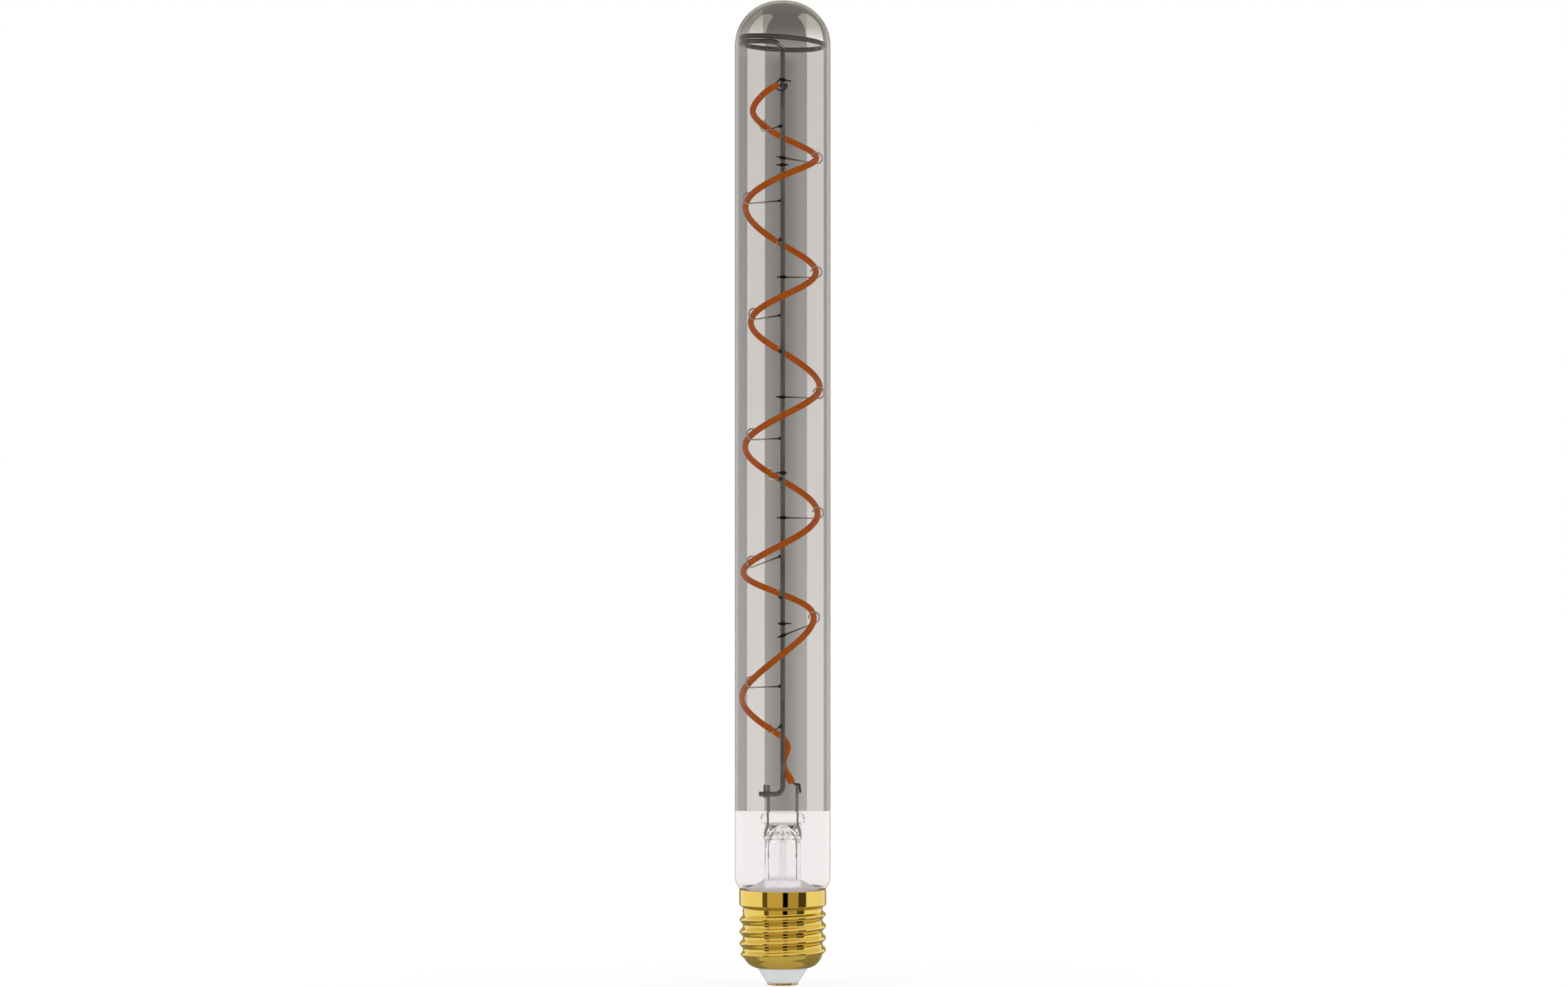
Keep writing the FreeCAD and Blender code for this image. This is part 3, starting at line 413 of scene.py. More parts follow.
# %% Shape the press
def superellipse(width, depth, power, sides=120):
    """Points of |x / width|^n + |y / depth|^n = 1, which is round for n = 2 and squarer above it."""
    t = np.linspace(0, 2 * np.pi, sides, endpoint=False)
    c, s = np.cos(t), np.sin(t)
    x = width[:, None] * np.sign(c) * np.abs(c) ** (2 / power[:, None])
    y = depth[:, None] * np.sign(s) * np.abs(s) ** (2 / power[:, None])
    return x, y


# height, half width, half depth and squareness of the section, from the press down to the round stem
PRESS = np.array([
    (52.60, 5.30, 1.80, 2.6), (52.45, 5.75, 2.15, 2.6), (52.20, 6.15, 2.25, 2.6), (51.70, 6.50, 2.30, 2.6),
    (51.00, 6.72, 2.30, 2.7), (50.10, 6.75, 2.30, 2.8), (49.45, 6.55, 2.30, 2.7), (49.15, 5.95, 1.95, 2.5),
    (48.85, 5.75, 1.95, 2.4), (48.60, 5.85, 2.45, 2.4), (47.60, 5.95, 3.20, 2.3), (46.40, 5.85, 4.00, 2.2),
    (45.60, 5.75, 4.50, 2.1), (45.10, 5.90, 5.00, 2.0), (44.70, 5.95, 5.55, 2.0), (44.35, 5.60, 5.35, 2.0),
    (44.00, 5.70, 5.65, 2.0), (43.60, 5.50, 5.50, 2.0),
])
levels = np.linspace(PRESS[0, 0], PRESS[-1, 0], 130)
width, depth, power = (np.interp(-levels, -PRESS[:, 0], PRESS[:, k]) for k in (1, 2, 3))
x, y = superellipse(width, depth, power)
PORT_Z, PORT_WIDTH, PORT_HEIGHT = 46.5, 1.75, 1.5
from_port = np.hypot(x / PORT_WIDTH, (levels[:, None] - PORT_Z) / PORT_HEIGHT)
front = y < 0
y = np.where(front, y + 1.1 * np.exp(-from_port ** 4) - 0.6 * np.exp(-((from_port - 1.2) / 0.15) ** 2), y)
press_rows = np.stack([x, y, levels[:, None] + 0 * x], -1)
print("the press has", len(press_rows), "rows and is", round(2 * width.max(), 1), "mm wide")

# %% [markdown]
# ## The stem under the press
# Below the press the stem is a plain tube, and its foot flares out to the rim of the bulb, where the two were melted
# together. It is turned like the bulb, down the outside and back up the bore, and its rows simply follow those of the
# press. Hand-drawn glass is never quite even, so every row waves by a few hundredths of a millimetre.

# %% Turn the stem
STEM, STEM_BORE, BEND = 5.5, 4.8, (8.1, 33.53)
stem_below = turned(np.vstack([
    side_line(STEM, 43.3, 34.0, 20),
    arc(BEND, BEND[0] - STEM, 180, 241, 12),
    [(8.6, 30.14), (10.99, 28.81), (11.24, 28.11), (8.6, 29.35)],
    arc(BEND, BEND[0] - STEM_BORE, 241, 180, 12),
    side_line(STEM_BORE, 34.0, 43.6, 20),
    [(4.7, 44.3), (4.3, 45.0), (3.6, 45.7), (3.0, 46.3), (2.5, 46.7), (1.2, 46.8), (0.2, 46.8)],
]), 120)
round_stem = np.linspace(0, 2 * np.pi, 120, endpoint=False)
stem_grid = np.vstack([press_rows, stem_below])
stem_grid[..., 2] += 0.03 * np.sin(3 * round_stem + stem_grid[..., 2] / 2)
print("the stem has", stem_grid.shape[0], "rows of", stem_grid.shape[1], "points")

# %% [markdown]
# ## Clear glass with cement on it
# The stem's glass is clear, with fine waves and tiny seeds. The bulb was set into wet cement, and a smear of it is
# left on the flare just above the cap. Its grey and white patches could be a picture, but noise and a few smooth
# steps over height and width need no file and stay sharp from close by. Towards the rim the smear turns near white,
# which is painted light over shade there, and the whole smear has a painted glow that lifts it, though it is no lamp.

# %% The clear finish and the cement, with painted light
def clear_glass(start, where):
    drawn = where.noise(420, 2, (1, 1, 0.3))
    seeds = where.noise(1500, 1)
    return {
        "Base Color": seeds.ramp(0.4, 0.7).blend((0.995, 0.995, 0.995), (0.975, 0.978, 0.98)),
        "Roughness": 0.0,
        "IOR": GLASS,
        "Transmission Weight": 1.0,
        "Normal": drawn.bump(0.25 * MM, 0.35),
    }


def cement_smear_painted_light(start, where):
    """Cement on the flare below 32 mm, thinner in patches and paler in front and behind. Near white by the rim is
    painted light over shade there, and its emission is a painted glow.
    """
    height = where.part("Z")
    across = where.part("X")
    from_middle = start.maths("ABSOLUTE", across)
    smear = (1 - height.ramp(31.2 * MM, 32.8 * MM)) * where.noise(260, 2).ramp(0.35, 0.6, 0.6, 0.95)
    grey = where.noise(300, 2).ramp(0.28, 0.5).blend((0.74, 0.71, 0.725), (0.62, 0.58, 0.60))
    wiped = (1 - from_middle.ramp(4.6 * MM, 6.2 * MM)) * height.ramp(29.9 * MM, 30.3 * MM)
    # painted light: the ramp by the rim turns the smear near white to cover shade there
    colour = (wiped + from_middle.ramp(10.3 * MM, 11.4 * MM)).blend(grey, (0.95, 0.95, 0.95))
    # painted glow: this emission lifts the dim cement, which is no lamp
    return smear, {"Base Color": colour, "Roughness": 0.9, "Emission Color": colour, "Emission Strength": 0.34}


glass_and_painted_glow_cement = finish("clear_glass_cement_painted_glow", clear_glass, cement_smear_painted_light)
place([skin("stem_glass", stem_grid, crease=70)], ["stem_flare"], glass_and_painted_glow_cement)

# %% [markdown]
# ## The exhaust tube
# The lamp was pumped and filled through a thin tube under the press, and its foot was then melted shut. Its outside
# is one closed skin, and its bore is a second one that faces inwards.

# %% Turn the exhaust tube
EXHAUST, EXHAUST_BORE = 1.3, 0.7
exhaust_outside = np.vstack([
    [(0.05, 46.75), (1.2, 46.75), (EXHAUST, 46.6)],
    side_line(EXHAUST, 46.0, 23.4, 30),
    arc((0.0, 22.8), EXHAUST, 0, -88, 12),
])
exhaust_bore = np.vstack([
    [(0.05, 46.2), (0.6, 46.1)],
    side_line(EXHAUST_BORE, 45.7, 23.6, 30),
    arc((0.0, 22.9), EXHAUST_BORE, 0, -88, 10),
])
place(
    [skin("exhaust_glass", turned(exhaust_outside, 48)), skin("exhaust_bore", turned(exhaust_bore, 32), hollow=True)],
    ["exhaust_tube"], glass_and_painted_glow_cement,
)

# %% [markdown]
# ## Drawn wire
# Rod, leads and hooks are all drawn wire, which has fine lines along it. The map made with each skin runs along the
# wire, so stretched noise on it follows every bend. Steel from a furnace is darker in patches, and the leads are
# nickel plated, which is lighter and warmer.

# %% Finishes for the wires
def drawn_wire(dark, light, roughness, patch_scale=90.0):
    """A metal of two tones with fine lines along its length."""
    def build(start, where):
        along = start.node("UVMap", {"uv_map": "along"})
        lines = along.node("Mapping", inputs={"Vector": along, "Scale": (26, 60, 1)})
        lines = start.node("TexNoise", inputs={"Vector": lines, "Scale": 1.0, "Detail": 4.0})
        patches = where.noise(patch_scale, 3)
        tone = lines.ramp(0.3, 0.7) * 0.5 + patches.ramp(0.35, 0.65) * 0.5
        return {
            "Base Color": tone.blend(dark, light),
            "Metallic": 1.0,
            "Roughness": patches.ramp(0.3, 0.7, roughness - 0.06, roughness + 0.08),
            "Normal": lines.bump(0.02 * MM, 0.4),
        }
    return build


rod_material = finish("darkened_steel_wire", drawn_wire((0.16, 0.155, 0.148), (0.36, 0.35, 0.335), 0.22))


def fine_wire(start, where):
    """Steel wire that the weld's heat has darkened near the rod, and that is bright towards its eye."""
    inputs = drawn_wire((0.72, 0.70, 0.68), (0.96, 0.94, 0.92), 0.26, 400.0)(start, where)
    flat = start.node("VectorMath", {"operation": "MULTIPLY"}, {0: where, 1: (1, 1, 0)})
    from_rod = start.node("VectorMath", {"operation": "LENGTH"}, {0: flat}, 1)
    inputs["Base Color"] = from_rod.ramp(1.5 * MM, 9.5 * MM).blend((0.07, 0.067, 0.064), inputs["Base Color"])
    return inputs


hook_material = finish("fine_steel_wire", fine_wire)
lead_material = finish("nickel_lead_wire", drawn_wire((0.38, 0.37, 0.36), (0.60, 0.59, 0.57), 0.46, 250.0))
seal_material = finish("copper_clad_wire", drawn_wire((0.22, 0.19, 0.17), (0.42, 0.36, 0.32), 0.35, 300.0))
print("wire finishes:", *(one.name for one in (rod_material, hook_material, lead_material, seal_material)))

# %% [markdown]
# ## The support rod
# One rod does all the carrying. Its foot lies across the left lead, it stands up just off the axis, and in the dome
# it goes out to the glass and winds round once and a quarter as a spring. The ring is a helix that leans a little, so
# it is worked out from its angle, and the corners at its start are true bends.

# %% Carry the rod along its path
ROD, ROD_Y, FOOT_Z = 0.75, -0.6, 58.1
RING, RING_Z, RING_RISE, ENTRY_X, RING_END = 12.65, 285.8, 1.6, 2.2, -180
entry = 270 - math.degrees(math.asin(ENTRY_X / RING))


def on_ring(angle):
    """The ring at an angle a: radius (cos a, sin a), rising 1.6 mm a turn and leaning up to the left and front."""
    x, y = RING * np.cos(np.radians(angle)), RING * np.sin(np.radians(angle))
    z = RING_Z + RING_RISE * (entry - angle) / 360 - 0.8 / RING * x - 0.45 / RING * y
    return np.stack([x, y, z], -1)


rod_corners = np.vstack([
    [(-7.15, ROD_Y, FOOT_Z), (0, ROD_Y, FOOT_Z), (0, ROD_Y, RING_Z)], on_ring(np.array([entry, entry - 11])),
])
coil = on_ring(np.linspace(entry - 13, RING_END, 130))
rod_path = np.vstack([bent(rod_corners, [2.2, 2.2, 1.8])[:-1], coil])
rod_path = np.delete(rod_path, 9, axis=0)  # the straight runs on to the second point of its upper bend
place(
    [skin("rod_and_ring", carried(rod_path, ring(ROD, 28), 0.12))],
    ["support_rod"], rod_material,
)

# %% [markdown]
# ## The strand
# The strand is a soft, flat flexible filament: tiny lamps in a row under an amber silicone coat. It hangs as a spiral
# that is tighter at the top, so its radius and height are a row of numbers, one for each quarter turn, joined by the
# same smooth curve as in the model. A plain helix would look machine made.

# %% Wind the strand
QUARTERS = np.array([
    (9.1, 266.2), (9.5, 258.8), (10.25, 252.2), (10.8, 246.0), (11.4, 236.8), (10.8, 226.0),
    (10.15, 217.2), (10.2, 209.5), (9.7, 201.8), (10.4, 193.1), (11.35, 182.4), (11.3, 173.3),
    (11.5, 163.7), (11.0, 153.6), (10.65, 143.8), (11.2, 134.3), (12.1, 125.5), (10.8, 118.7),
    (9.45, 111.9), (10.2, 101.1), (12.7, 86.7), (8.0, 75.2),
])


def on_spiral(quarter, reach=1.0):
    """The strand's centre after some quarter turns, (2s^3-3s^2+1)a + (s^3-2s^2+s)a' + (3s^2-2s^3)b + (s^3-s^2)b'."""
    quarter = np.atleast_1d(np.asarray(quarter, float))
    index = np.minimum(quarter.astype(int), len(QUARTERS) - 2)
    s = (quarter - index)[:, None]
    before, a, b, after = (QUARTERS[np.clip(index + k, 0, len(QUARTERS) - 1)] for k in (-1, 0, 1, 2))
    leaving, arriving = (b - before) / 2, (after - a) / 2
    curve = (2 * s ** 3 - 3 * s ** 2 + 1) * a + (s ** 3 - 2 * s ** 2 + s) * leaving
    curve = curve + (3 * s ** 2 - 2 * s ** 3) * b + (s ** 3 - s ** 2) * arriving
    angle = np.radians(180 - 90 * quarter)
    return np.stack([reach * curve[:, 0] * np.cos(angle), reach * curve[:, 0] * np.sin(angle), curve[:, 1]], -1)


LEAD_X, LEAD_Y, LEAD_TOP = 4.35, 0.625, 60.7
STRAND, SWELL, SWELL_LENGTH, CHIP = 0.95, 0.22, 3.5, 1.15
STRIP_OFFSET, HEAD_RUN, HEAD_DROP = 0.86, 2.9, 1.5
CURVE_REACH = 1.045  # a B-spline runs inside its points, so they stand a little further out
head = np.array([-1.9, -2.6, 274.0])
to_rod = (-head[0], ROD_Y - head[1])
strip_bearing = math.atan2(to_rod[1], to_rod[0]) - math.asin(STRIP_OFFSET / math.hypot(*to_rod))
head_low = head - [math.cos(strip_bearing) * HEAD_RUN, math.sin(strip_bearing) * HEAD_RUN, HEAD_DROP]
tail = np.array([
    (1.9, 6.3, 72.6), (1.3, 5.2, 70.4), (0.1, 3.9, 68.0), (0.4, 2.2, 65.9),
    (1.6, LEAD_Y, 63.8), (2.6, LEAD_Y, 61.9),
])
strand_points = np.vstack([
    head, head_low, (-6.6, -4.6, 270.4), (-8.4, -3.2, 268.4), on_spiral(np.arange(64) / 3, CURVE_REACH), tail,
])
strand_path = smooth_line(strand_points, 8)
print("the strand is", round(np.linalg.norm(np.diff(strand_path, axis=0), axis=1).sum()), "mm long")

# %% [markdown]
# ## Amber silicone
# The coat is soft, a little cloudy and satin, and the row of tiny lamps under it shows as a faint beat along the
# strand. A flat orange would look like painted wire, so light goes a little way in. A low emission on top is a
# painted glow, because the strand is unlit and no lamp: it stands in for the light that the whole coat scatters. The
# lower end swells where the coat runs over its strip.

# %% The strand's finish and skin
def amber_silicone_painted_glow(start, where):
    along = start.node("UVMap", {"uv_map": "along"})
    length = along.part("Y")
    chips = start.maths("SINE", length * (2 * math.pi / (CHIP * MM)))
    mottle = where.noise(700, 3)
    tone = mottle.ramp(0.3, 0.7) * 0.7 + chips.ramp(0.2, 1.0) * 0.3
    return {
        "Base Color": tone.blend((0.62, 0.145, 0.005), (0.76, 0.200, 0.010)),
        "Roughness": mottle.ramp(0.3, 0.7, 0.42, 0.56),
        "Subsurface Weight": 0.15,
        "Subsurface Radius": (0.5 * MM, 0.25 * MM, 0.1 * MM),
        "Subsurface Scale": 1.0,
        "Specular IOR Level": 0.3,
        "Sheen Weight": 0.15,
        "Sheen Roughness": 0.2,
        "Sheen Tint": (1.0, 0.66, 0.4, 1),
        # painted glow: the unlit strand is no lamp, and this emission stands in for light that its coat scatters
        "Emission Color": tone.blend((0.84, 0.125, 0.0), (0.95, 0.165, 0.0)),
        "Emission Strength": 0.30,
        "Normal": mottle.bump(0.03 * MM, 0.5),
    }


amber = finish("amber_coat_painted_glow", amber_silicone_painted_glow)
strand_grid = carried(strand_path, ring(STRAND, 20, 0.98), 0.75)
middle = strand_grid.mean(1, keepdims=True)
to_end = np.linalg.norm(middle - middle[-1:], axis=2, keepdims=True)
strand_grid = middle + (strand_grid - middle) * (1 + SWELL * np.exp(-(to_end / SWELL_LENGTH) ** 2))
place([skin("amber_strand", strand_grid)], ["filament"], amber)

# %% [markdown]
# ## The hooks
# Sixteen fine wires are welded to the rod, and each ends in an open eye round the strand. A hook is a straight and
# an arc in one plane. Its aim is geometry: the wire lies beside the rod, so the bearing is turned by the angle whose
# sine is the offset over the distance, and the straight is tangent to the eye, so the slope is turned the same way.

# %% Aim and bend the hooks
WIRE, LOOP, OFFSET, OPEN_EYE = 0.225, 1.66, 0.94, 265
EYE_OUT, EYE_CLEAR, WIRE_EDGE = 0.15, 0.1, 0.228
HOOKS = [
    (0.57, -0.7, "back"), (2.05, 0.1, "right"), (3.73, -0.5, "left"), (4.86, -0.4, "back"),
    (6.0, -1.6, "right"), (7.69, -0.2, "left"), (8.91, -0.9, "back"), (10.22, -1.2, "right"),
    (11.59, -1.2, "left"), (12.77, -1.8, "back"), (14.0, -1.5, "right"), (15.58, 1.6, "left"),
    (16.89, -1.4, "back"), (18.0, -5.4, "right"), (19.6, -1.5, "left"), (20.72, 1.2, "back"),
]
HOOK_WAYS = {"right": (-1, 1.9), "left": (-1, 1.1), "back": (1, 1.3)}


def hook_path(weld, ahead, up, stub, reach, turn):
    """A straight from the stub to the eye's foot, then the eye, reach + r sin t ahead and r - r cos t up."""
    t = np.radians(np.linspace(0, turn, 30))
    eye = np.stack([reach + LOOP * np.sin(t), LOOP - LOOP * np.cos(t)], -1)
    flat = np.vstack([[(-stub, 0), (0, 0), (reach * 0.5, 0)], eye])
    return weld + flat[:, :1] * ahead + flat[:, 1:] * up


def aim(quarter, rise, way):
    """The weld, the two directions and the reach of one hook."""
    side, stub = HOOK_WAYS[way]
    strand_at = on_spiral(quarter)[0]
    centre, flat = np.array([0, ROD_Y]), strand_at[:2]
    outward = min(EYE_OUT, TUBE - WALL - EYE_CLEAR - LOOP - WIRE_EDGE - np.hypot(*flat))
    eye = flat + (flat - centre) / np.hypot(*(flat - centre)) * outward
    away = eye - centre
    gap = np.hypot(*away)
    bearing = math.atan2(away[1], away[0]) - side * math.asin(OFFSET / gap)
    along = math.sqrt(gap ** 2 - OFFSET ** 2)
    weld = np.array([*(eye - np.array([math.cos(bearing), math.sin(bearing)]) * along), strand_at[2] + rise])
    distance = math.hypot(along, rise)
    slope = math.atan2(-rise, along) - math.asin(LOOP / distance)
    level = np.array([math.cos(bearing), math.sin(bearing), 0])
    ahead = level * math.cos(slope) + np.array([0, 0, math.sin(slope)])
    up = np.array([0, 0, math.cos(slope)]) - level * math.sin(slope)
    return weld, ahead, up, stub, math.sqrt(distance ** 2 - LOOP ** 2)


section = ring(WIRE, 12)
welds = []
for number, (quarter, rise, way) in enumerate(HOOKS, 1):
    weld, ahead, up, stub, reach = aim(quarter, rise, way)
    path = hook_path(weld, ahead, up, stub, reach, OPEN_EYE)
    place(
        [skin("wire_hook_%02d" % number, carried(path, section, 0.05))],
        ["filament_hook_%02d" % number], hook_material,
    )
    welds.append((weld + (np.array([0, ROD_Y, weld[2]]) - weld) * 0.2, ahead))

# %% [markdown]
# ## Other fine wires
# One more hook hangs upside down at the rod's top, and three cut ends are left across its front, where wires were
# welded on and nipped off. They are drawn like the hooks and share their finish.

# %% The top hook and the cut ends
tilt = math.radians(9)
top_ahead = np.array([-math.cos(tilt), 0, math.sin(tilt)])
top_up = np.array([-math.sin(tilt), 0, -math.cos(tilt)])
top_path = hook_path(np.array([2.4, ROD_Y - OFFSET, 275.3]), top_ahead, top_up, 0.15, 2.53, 300)
place([skin("wire_top_hook", carried(top_path, section, 0.05))], ["top_hook"], hook_material)
welds.append((np.array([0.0, ROD_Y - ROD, 275.7]), top_ahead))


def round_bar(name, start_at, end_at, radius, sides, rounding):
    """A straight wire with rounded ends."""
    return skin(name, carried(np.linspace(start_at, end_at, 8), ring(radius, sides), rounding))


CUT_WIRES = [(249.8, -2.0, 3.6), (156.0, -2.0, 2.8), (110.1, -1.4, 4.0)]
for number, (height, left, length) in enumerate(CUT_WIRES, 1):
    start_at, end_at = (left, ROD_Y - OFFSET, height), (left + length, ROD_Y - OFFSET, height)
    name = "cut_wire_%d" % number
    place([round_bar("fine_" + name, start_at, end_at, WIRE, 12, 0.05)], [name], hook_material)
    welds.append((np.array([0.0, ROD_Y - ROD, height]), np.array([1.0, 0, 0])))

# %% [markdown]
# ## The leads
# Each lead is three wires in a row, because no one metal does every job: a stiff one that stands on the press, a thin
# one that seals into the glass, and a soft tail that bends down into the cap. They are made the same way as the
# hooks, each with the finish of its metal.

# %% The leads and the pin
PRESS_TOP, SEAL_FOOT, TAIL_FOOT = 51.95, 38.7, 9.2
TAILS = {
    "left": [(4.2, 0.8, 0.17), (4.6, 2.0, 0.40), (3.2, 5.0, 0.68), (1.6, 6.5, 0.90), (1.6, 6.5, 1.0)],
    "right": [(4.3, 0.9, 0.20), (4.5, 2.2, 0.42), (3.4, 5.6, 0.66), (1.8, 6.9, 0.91), (1.8, 6.9, 1.0)],
}
for side, sign in (("left", -1), ("right", 1)):
    x = sign * LEAD_X
    stiff = round_bar("lead_" + side, (x, LEAD_Y, PRESS_TOP), (x, LEAD_Y, LEAD_TOP), 0.475, 20, 0.08)
    place([stiff], ["inner_lead_" + side], lead_material)
    sealed = round_bar("sealed_" + side, (x, LEAD_Y, SEAL_FOOT), (x, LEAD_Y, PRESS_TOP - 0.05), 0.3, 16, 0.05)
    place([sealed], ["seal_wire_" + side], seal_material)
    drop = TAIL_FOOT - SEAL_FOOT
    bends = [(sign * a, b, SEAL_FOOT + c * drop) for a, b, c in TAILS[side]]
    soft = np.array([(x, LEAD_Y, SEAL_FOOT), (x, LEAD_Y, SEAL_FOOT - 1.5)] + bends)
    place(
        [skin("soft_tail_" + side, carried(smooth_line(soft, 10), ring(0.15, 10), 0.03))],
        ["outer_lead_" + side], lead_material,
    )
pin = round_bar("pin_on_foot", (-5.475, 0.6, 56.9), (-5.475, 0.6, 60.8), 0.45, 20, 0.08)
place([pin], ["foot_pin"], lead_material)

# %% [markdown]
# ## Welds
# Each wire is spot welded where it crosses the rod, and the weld is a small black bead pressed half round both. A
# bead is a ball stretched along its wire, with a lumpy surface, and all of them are one piece.

# %% Beads of the welds
def bead(centre, ahead, size, phase):
    """A ball of latitude rows, r sin v (cos u, sin u) and r cos v, stretched along its wire and made uneven."""
    v = np.linspace(0.08, np.pi - 0.08, 9)[:, None]
    u = np.linspace(0, 2 * np.pi, 14, endpoint=False)[None, :]
    lump = 1 + 0.12 * np.sin(3 * u + phase) * np.sin(v) + 0.08 * np.cos(5 * v + phase)
    side = np.cross(ahead, [0, 0, 1.0])
    side = side / np.linalg.norm(side)
    up = np.cross(side, ahead)
    parts = (
        (np.sin(v) * np.cos(u) * 0.45, side), (np.sin(v) * np.sin(u) * 0.42, up), (np.cos(v) + 0 * u, ahead),
    )
    return centre + size * sum((lump * part)[..., None] * way for part, way in parts)


def scaled_steel(start, where):
    grain = where.noise(2600, 4)
    return {
        "Base Color": grain.ramp(0.35, 0.7).blend((0.004, 0.004, 0.0035), (0.022, 0.020, 0.018)),
        "Metallic": 0.4,
        "Roughness": grain.ramp(0.3, 0.7, 0.45, 0.7),
        "Normal": grain.bump(0.08 * MM, 0.7),
    }


weld_material = finish("scaled_weld_steel", scaled_steel)
BEAD = 1.25
beads = [skin("weld_bead_%d" % k, bead(at, along, BEAD, k), crease=80) for k, (at, along) in enumerate(welds)]
place(beads, [], weld_material)

# %% [markdown]
# ## Strips at the strand's ends
# A bent strip of nickel holds each end of the strand, and it is welded to the rod above and to the right lead below.
# The model's own strip at the head has the right shape, so it stays and only gets its finish. It has no map along it,
# so this finish reads the place itself. The strip at the tail is crimped thicker, and it is carried along its bends.

# %% Finishes for the model's own small pieces
def plain_metal(dark, light, scale, roughness):
    """A metal with cloudy tones and fine scratches, read from the place itself."""
    def build(start, where):
        cloud = where.noise(scale, 4)
        scratch = where.noise(scale * 3, 2, (0.15, 1, 1))
        return {
            "Base Color": (cloud.ramp(0.3, 0.7) * 0.6 + scratch.ramp(0.4, 0.6) * 0.4).blend(dark, light),
            "Metallic": 1.0,
            "Roughness": cloud.ramp(0.3, 0.7, roughness - 0.05, roughness + 0.1),
            "Normal": scratch.bump(0.02 * MM, 0.4),
        }
    return build


def dress(names, material):
    """Gives nodes of the model a material in place of the packed one."""
    for name in names:
        nodes[name].data.materials.clear()
        nodes[name].data.materials.append(material)
    print(material.name, "on", len(names), "nodes")


strip_material = finish("nickel_strip", plain_metal((0.07, 0.066, 0.062), (0.20, 0.19, 0.18), 900.0, 0.3))
dress(["filament_terminal_top", "live_wire", "shell_wire"], strip_material)
strip_corners = np.array([
    (2.45, LEAD_Y, 62.2), (3.875, LEAD_Y, 61.0), (5.1, LEAD_Y, 61.0), (5.385, LEAD_Y, 58.51),
])
across, deep = superellipse(np.array([0.3]), np.array([0.45]), np.array([4.0]), 20)
strip_grid = carried(bent(strip_corners, [0.5, 0.35]), np.stack([across[0], deep[0]], -1), 0.08)
place([skin("tail_strip", strip_grid)], ["filament_terminal_bottom"], strip_material)

# %% [markdown]
# ## The gold cap
# The cap is drawn from thin sheet and its thread is rolled in, so inside and outside follow the same wave. The
# radius is a cosine of how far a point lies above the thread, counted in turns, and the wave fades out at both ends.
# Above it comes a plain band with a turned rim, below it a round bowl.

# %% Roll the cap
ROOT, CREST, PITCH, THREAD_START, SHEET = 12.15, 13.2, 3.629, 8.85, 0.3
BOWL, BOWL_RADIUS, BAND, BAND_CORNER, FILLET = (7.15, 10.1), 5.0, 13.3, 0.5, 0.55


def ease(value):
    """The smooth step 3v^2 - 2v^3 between 0 and 1."""
    value = np.clip(value, 0, 1)
    return value ** 2 * (3 - 2 * value)


def cap_profile(inset):
    """The cap without its thread, from the bowl's opening up to the rim, moved in by the sheet or not."""
    return np.vstack([
        arc(BOWL, BOWL_RADIUS - inset, -82.5, 0, 26),
        side_line(ROOT - inset, 10.2, 23.2, 120),
        arc((ROOT + FILLET - inset, 23.3), FILLET, 180, 100, 8),
        arc((BAND - BAND_CORNER - inset, 24.55), BAND_CORNER, -80, 0, 8),
        side_line(BAND - inset, 24.8, 28.7, 12),
    ])


outside, inside = cap_profile(0), cap_profile(SHEET)
rim = arc((BAND - SHEET / 2, 28.93), SHEET / 2, 0, 180, 9)
cap_grid = turned(np.vstack([outside, rim, inside[::-1]]), 264)
angle = np.arctan2(cap_grid[..., 1], cap_grid[..., 0])
height = cap_grid[..., 2]
turns = (height - THREAD_START) / PITCH - (angle / (2 * np.pi) - 0.5)
fade = ease((height - 7.4) / 2.4) * (1 - ease((height - 21.4) / 1.7))
wave = (CREST - ROOT) * (0.5 + 0.5 * np.cos(2 * np.pi * turns)) ** 1.15 * fade
radius = np.hypot(cap_grid[..., 0], cap_grid[..., 1])
cap_grid[..., :2] *= ((radius + wave) / radius)[..., None]
print("the thread goes round", round((23.2 - THREAD_START) / PITCH, 1), "times and is", 2 * CREST, "mm across")

# %% [markdown]
# ## Bright gold
# The sheet is bright, with fine lines from the rolls that go round it, small worn spots and a duller, warmer bowl.
# Metal shows mostly what it mirrors, so the colour varies little, and the roughness and the fine normal do the work.

# %% The gold finish and the cap in place
def bright_gold(start, where):
    height = where.part("Z")
    cloud = where.noise(120, 3)
    rolled = where.noise(900, 3, (0.08, 0.08, 1.6))
    wear = where.noise(2400, 4)
    tone = cloud.ramp(0.3, 0.7) * 0.6 + rolled.ramp(0.35, 0.65) * 0.4
    foot = 1 - height.ramp(5.0 * MM, 9.5 * MM)
    return {
        "Base Color": foot.blend(tone.blend((0.79, 0.56, 0.11), (0.84, 0.625, 0.15)), (0.66, 0.45, 0.085)),
        "Metallic": 1.0,
        "Roughness": cloud.ramp(0.3, 0.7, 0.06, 0.10) + foot * 0.14 + wear.ramp(0.6, 0.8) * 0.04,
        "Normal": (rolled * 0.7 + wear * 0.3).bump(0.02 * MM, 0.3),
    }


gold = finish("bright_gold_sheet", bright_gold)
place([skin("rolled_cap", cap_grid, closed=True, crease=50)], ["screw_shell"], gold)

# %% [markdown]
# ## The insulator
# A white moulding closes the bowl and keeps the contact off the sheet. Moulded edges are never sharp, so each corner
# of the profile is a small arc. A thin coat over a slightly uneven surface gives the soft shine of the moulding.

# %% Turn the insulator
insulator_profile = np.vstack([
    arc((4.75, 1.05), 0.3, -90, -28, 5),
    np.stack([np.linspace(5.05, 7.62, 14), np.linspace(0.98, 5.0, 14)], -1)[1:],
    arc((7.55, 5.3), 0.3, -30, 20, 4),
    [(8.1, 5.65), (8.9, 6.0), (9.0, 8.1), (8.9, 8.2), (1.0, 8.2), (1.0, 0.76)],
])


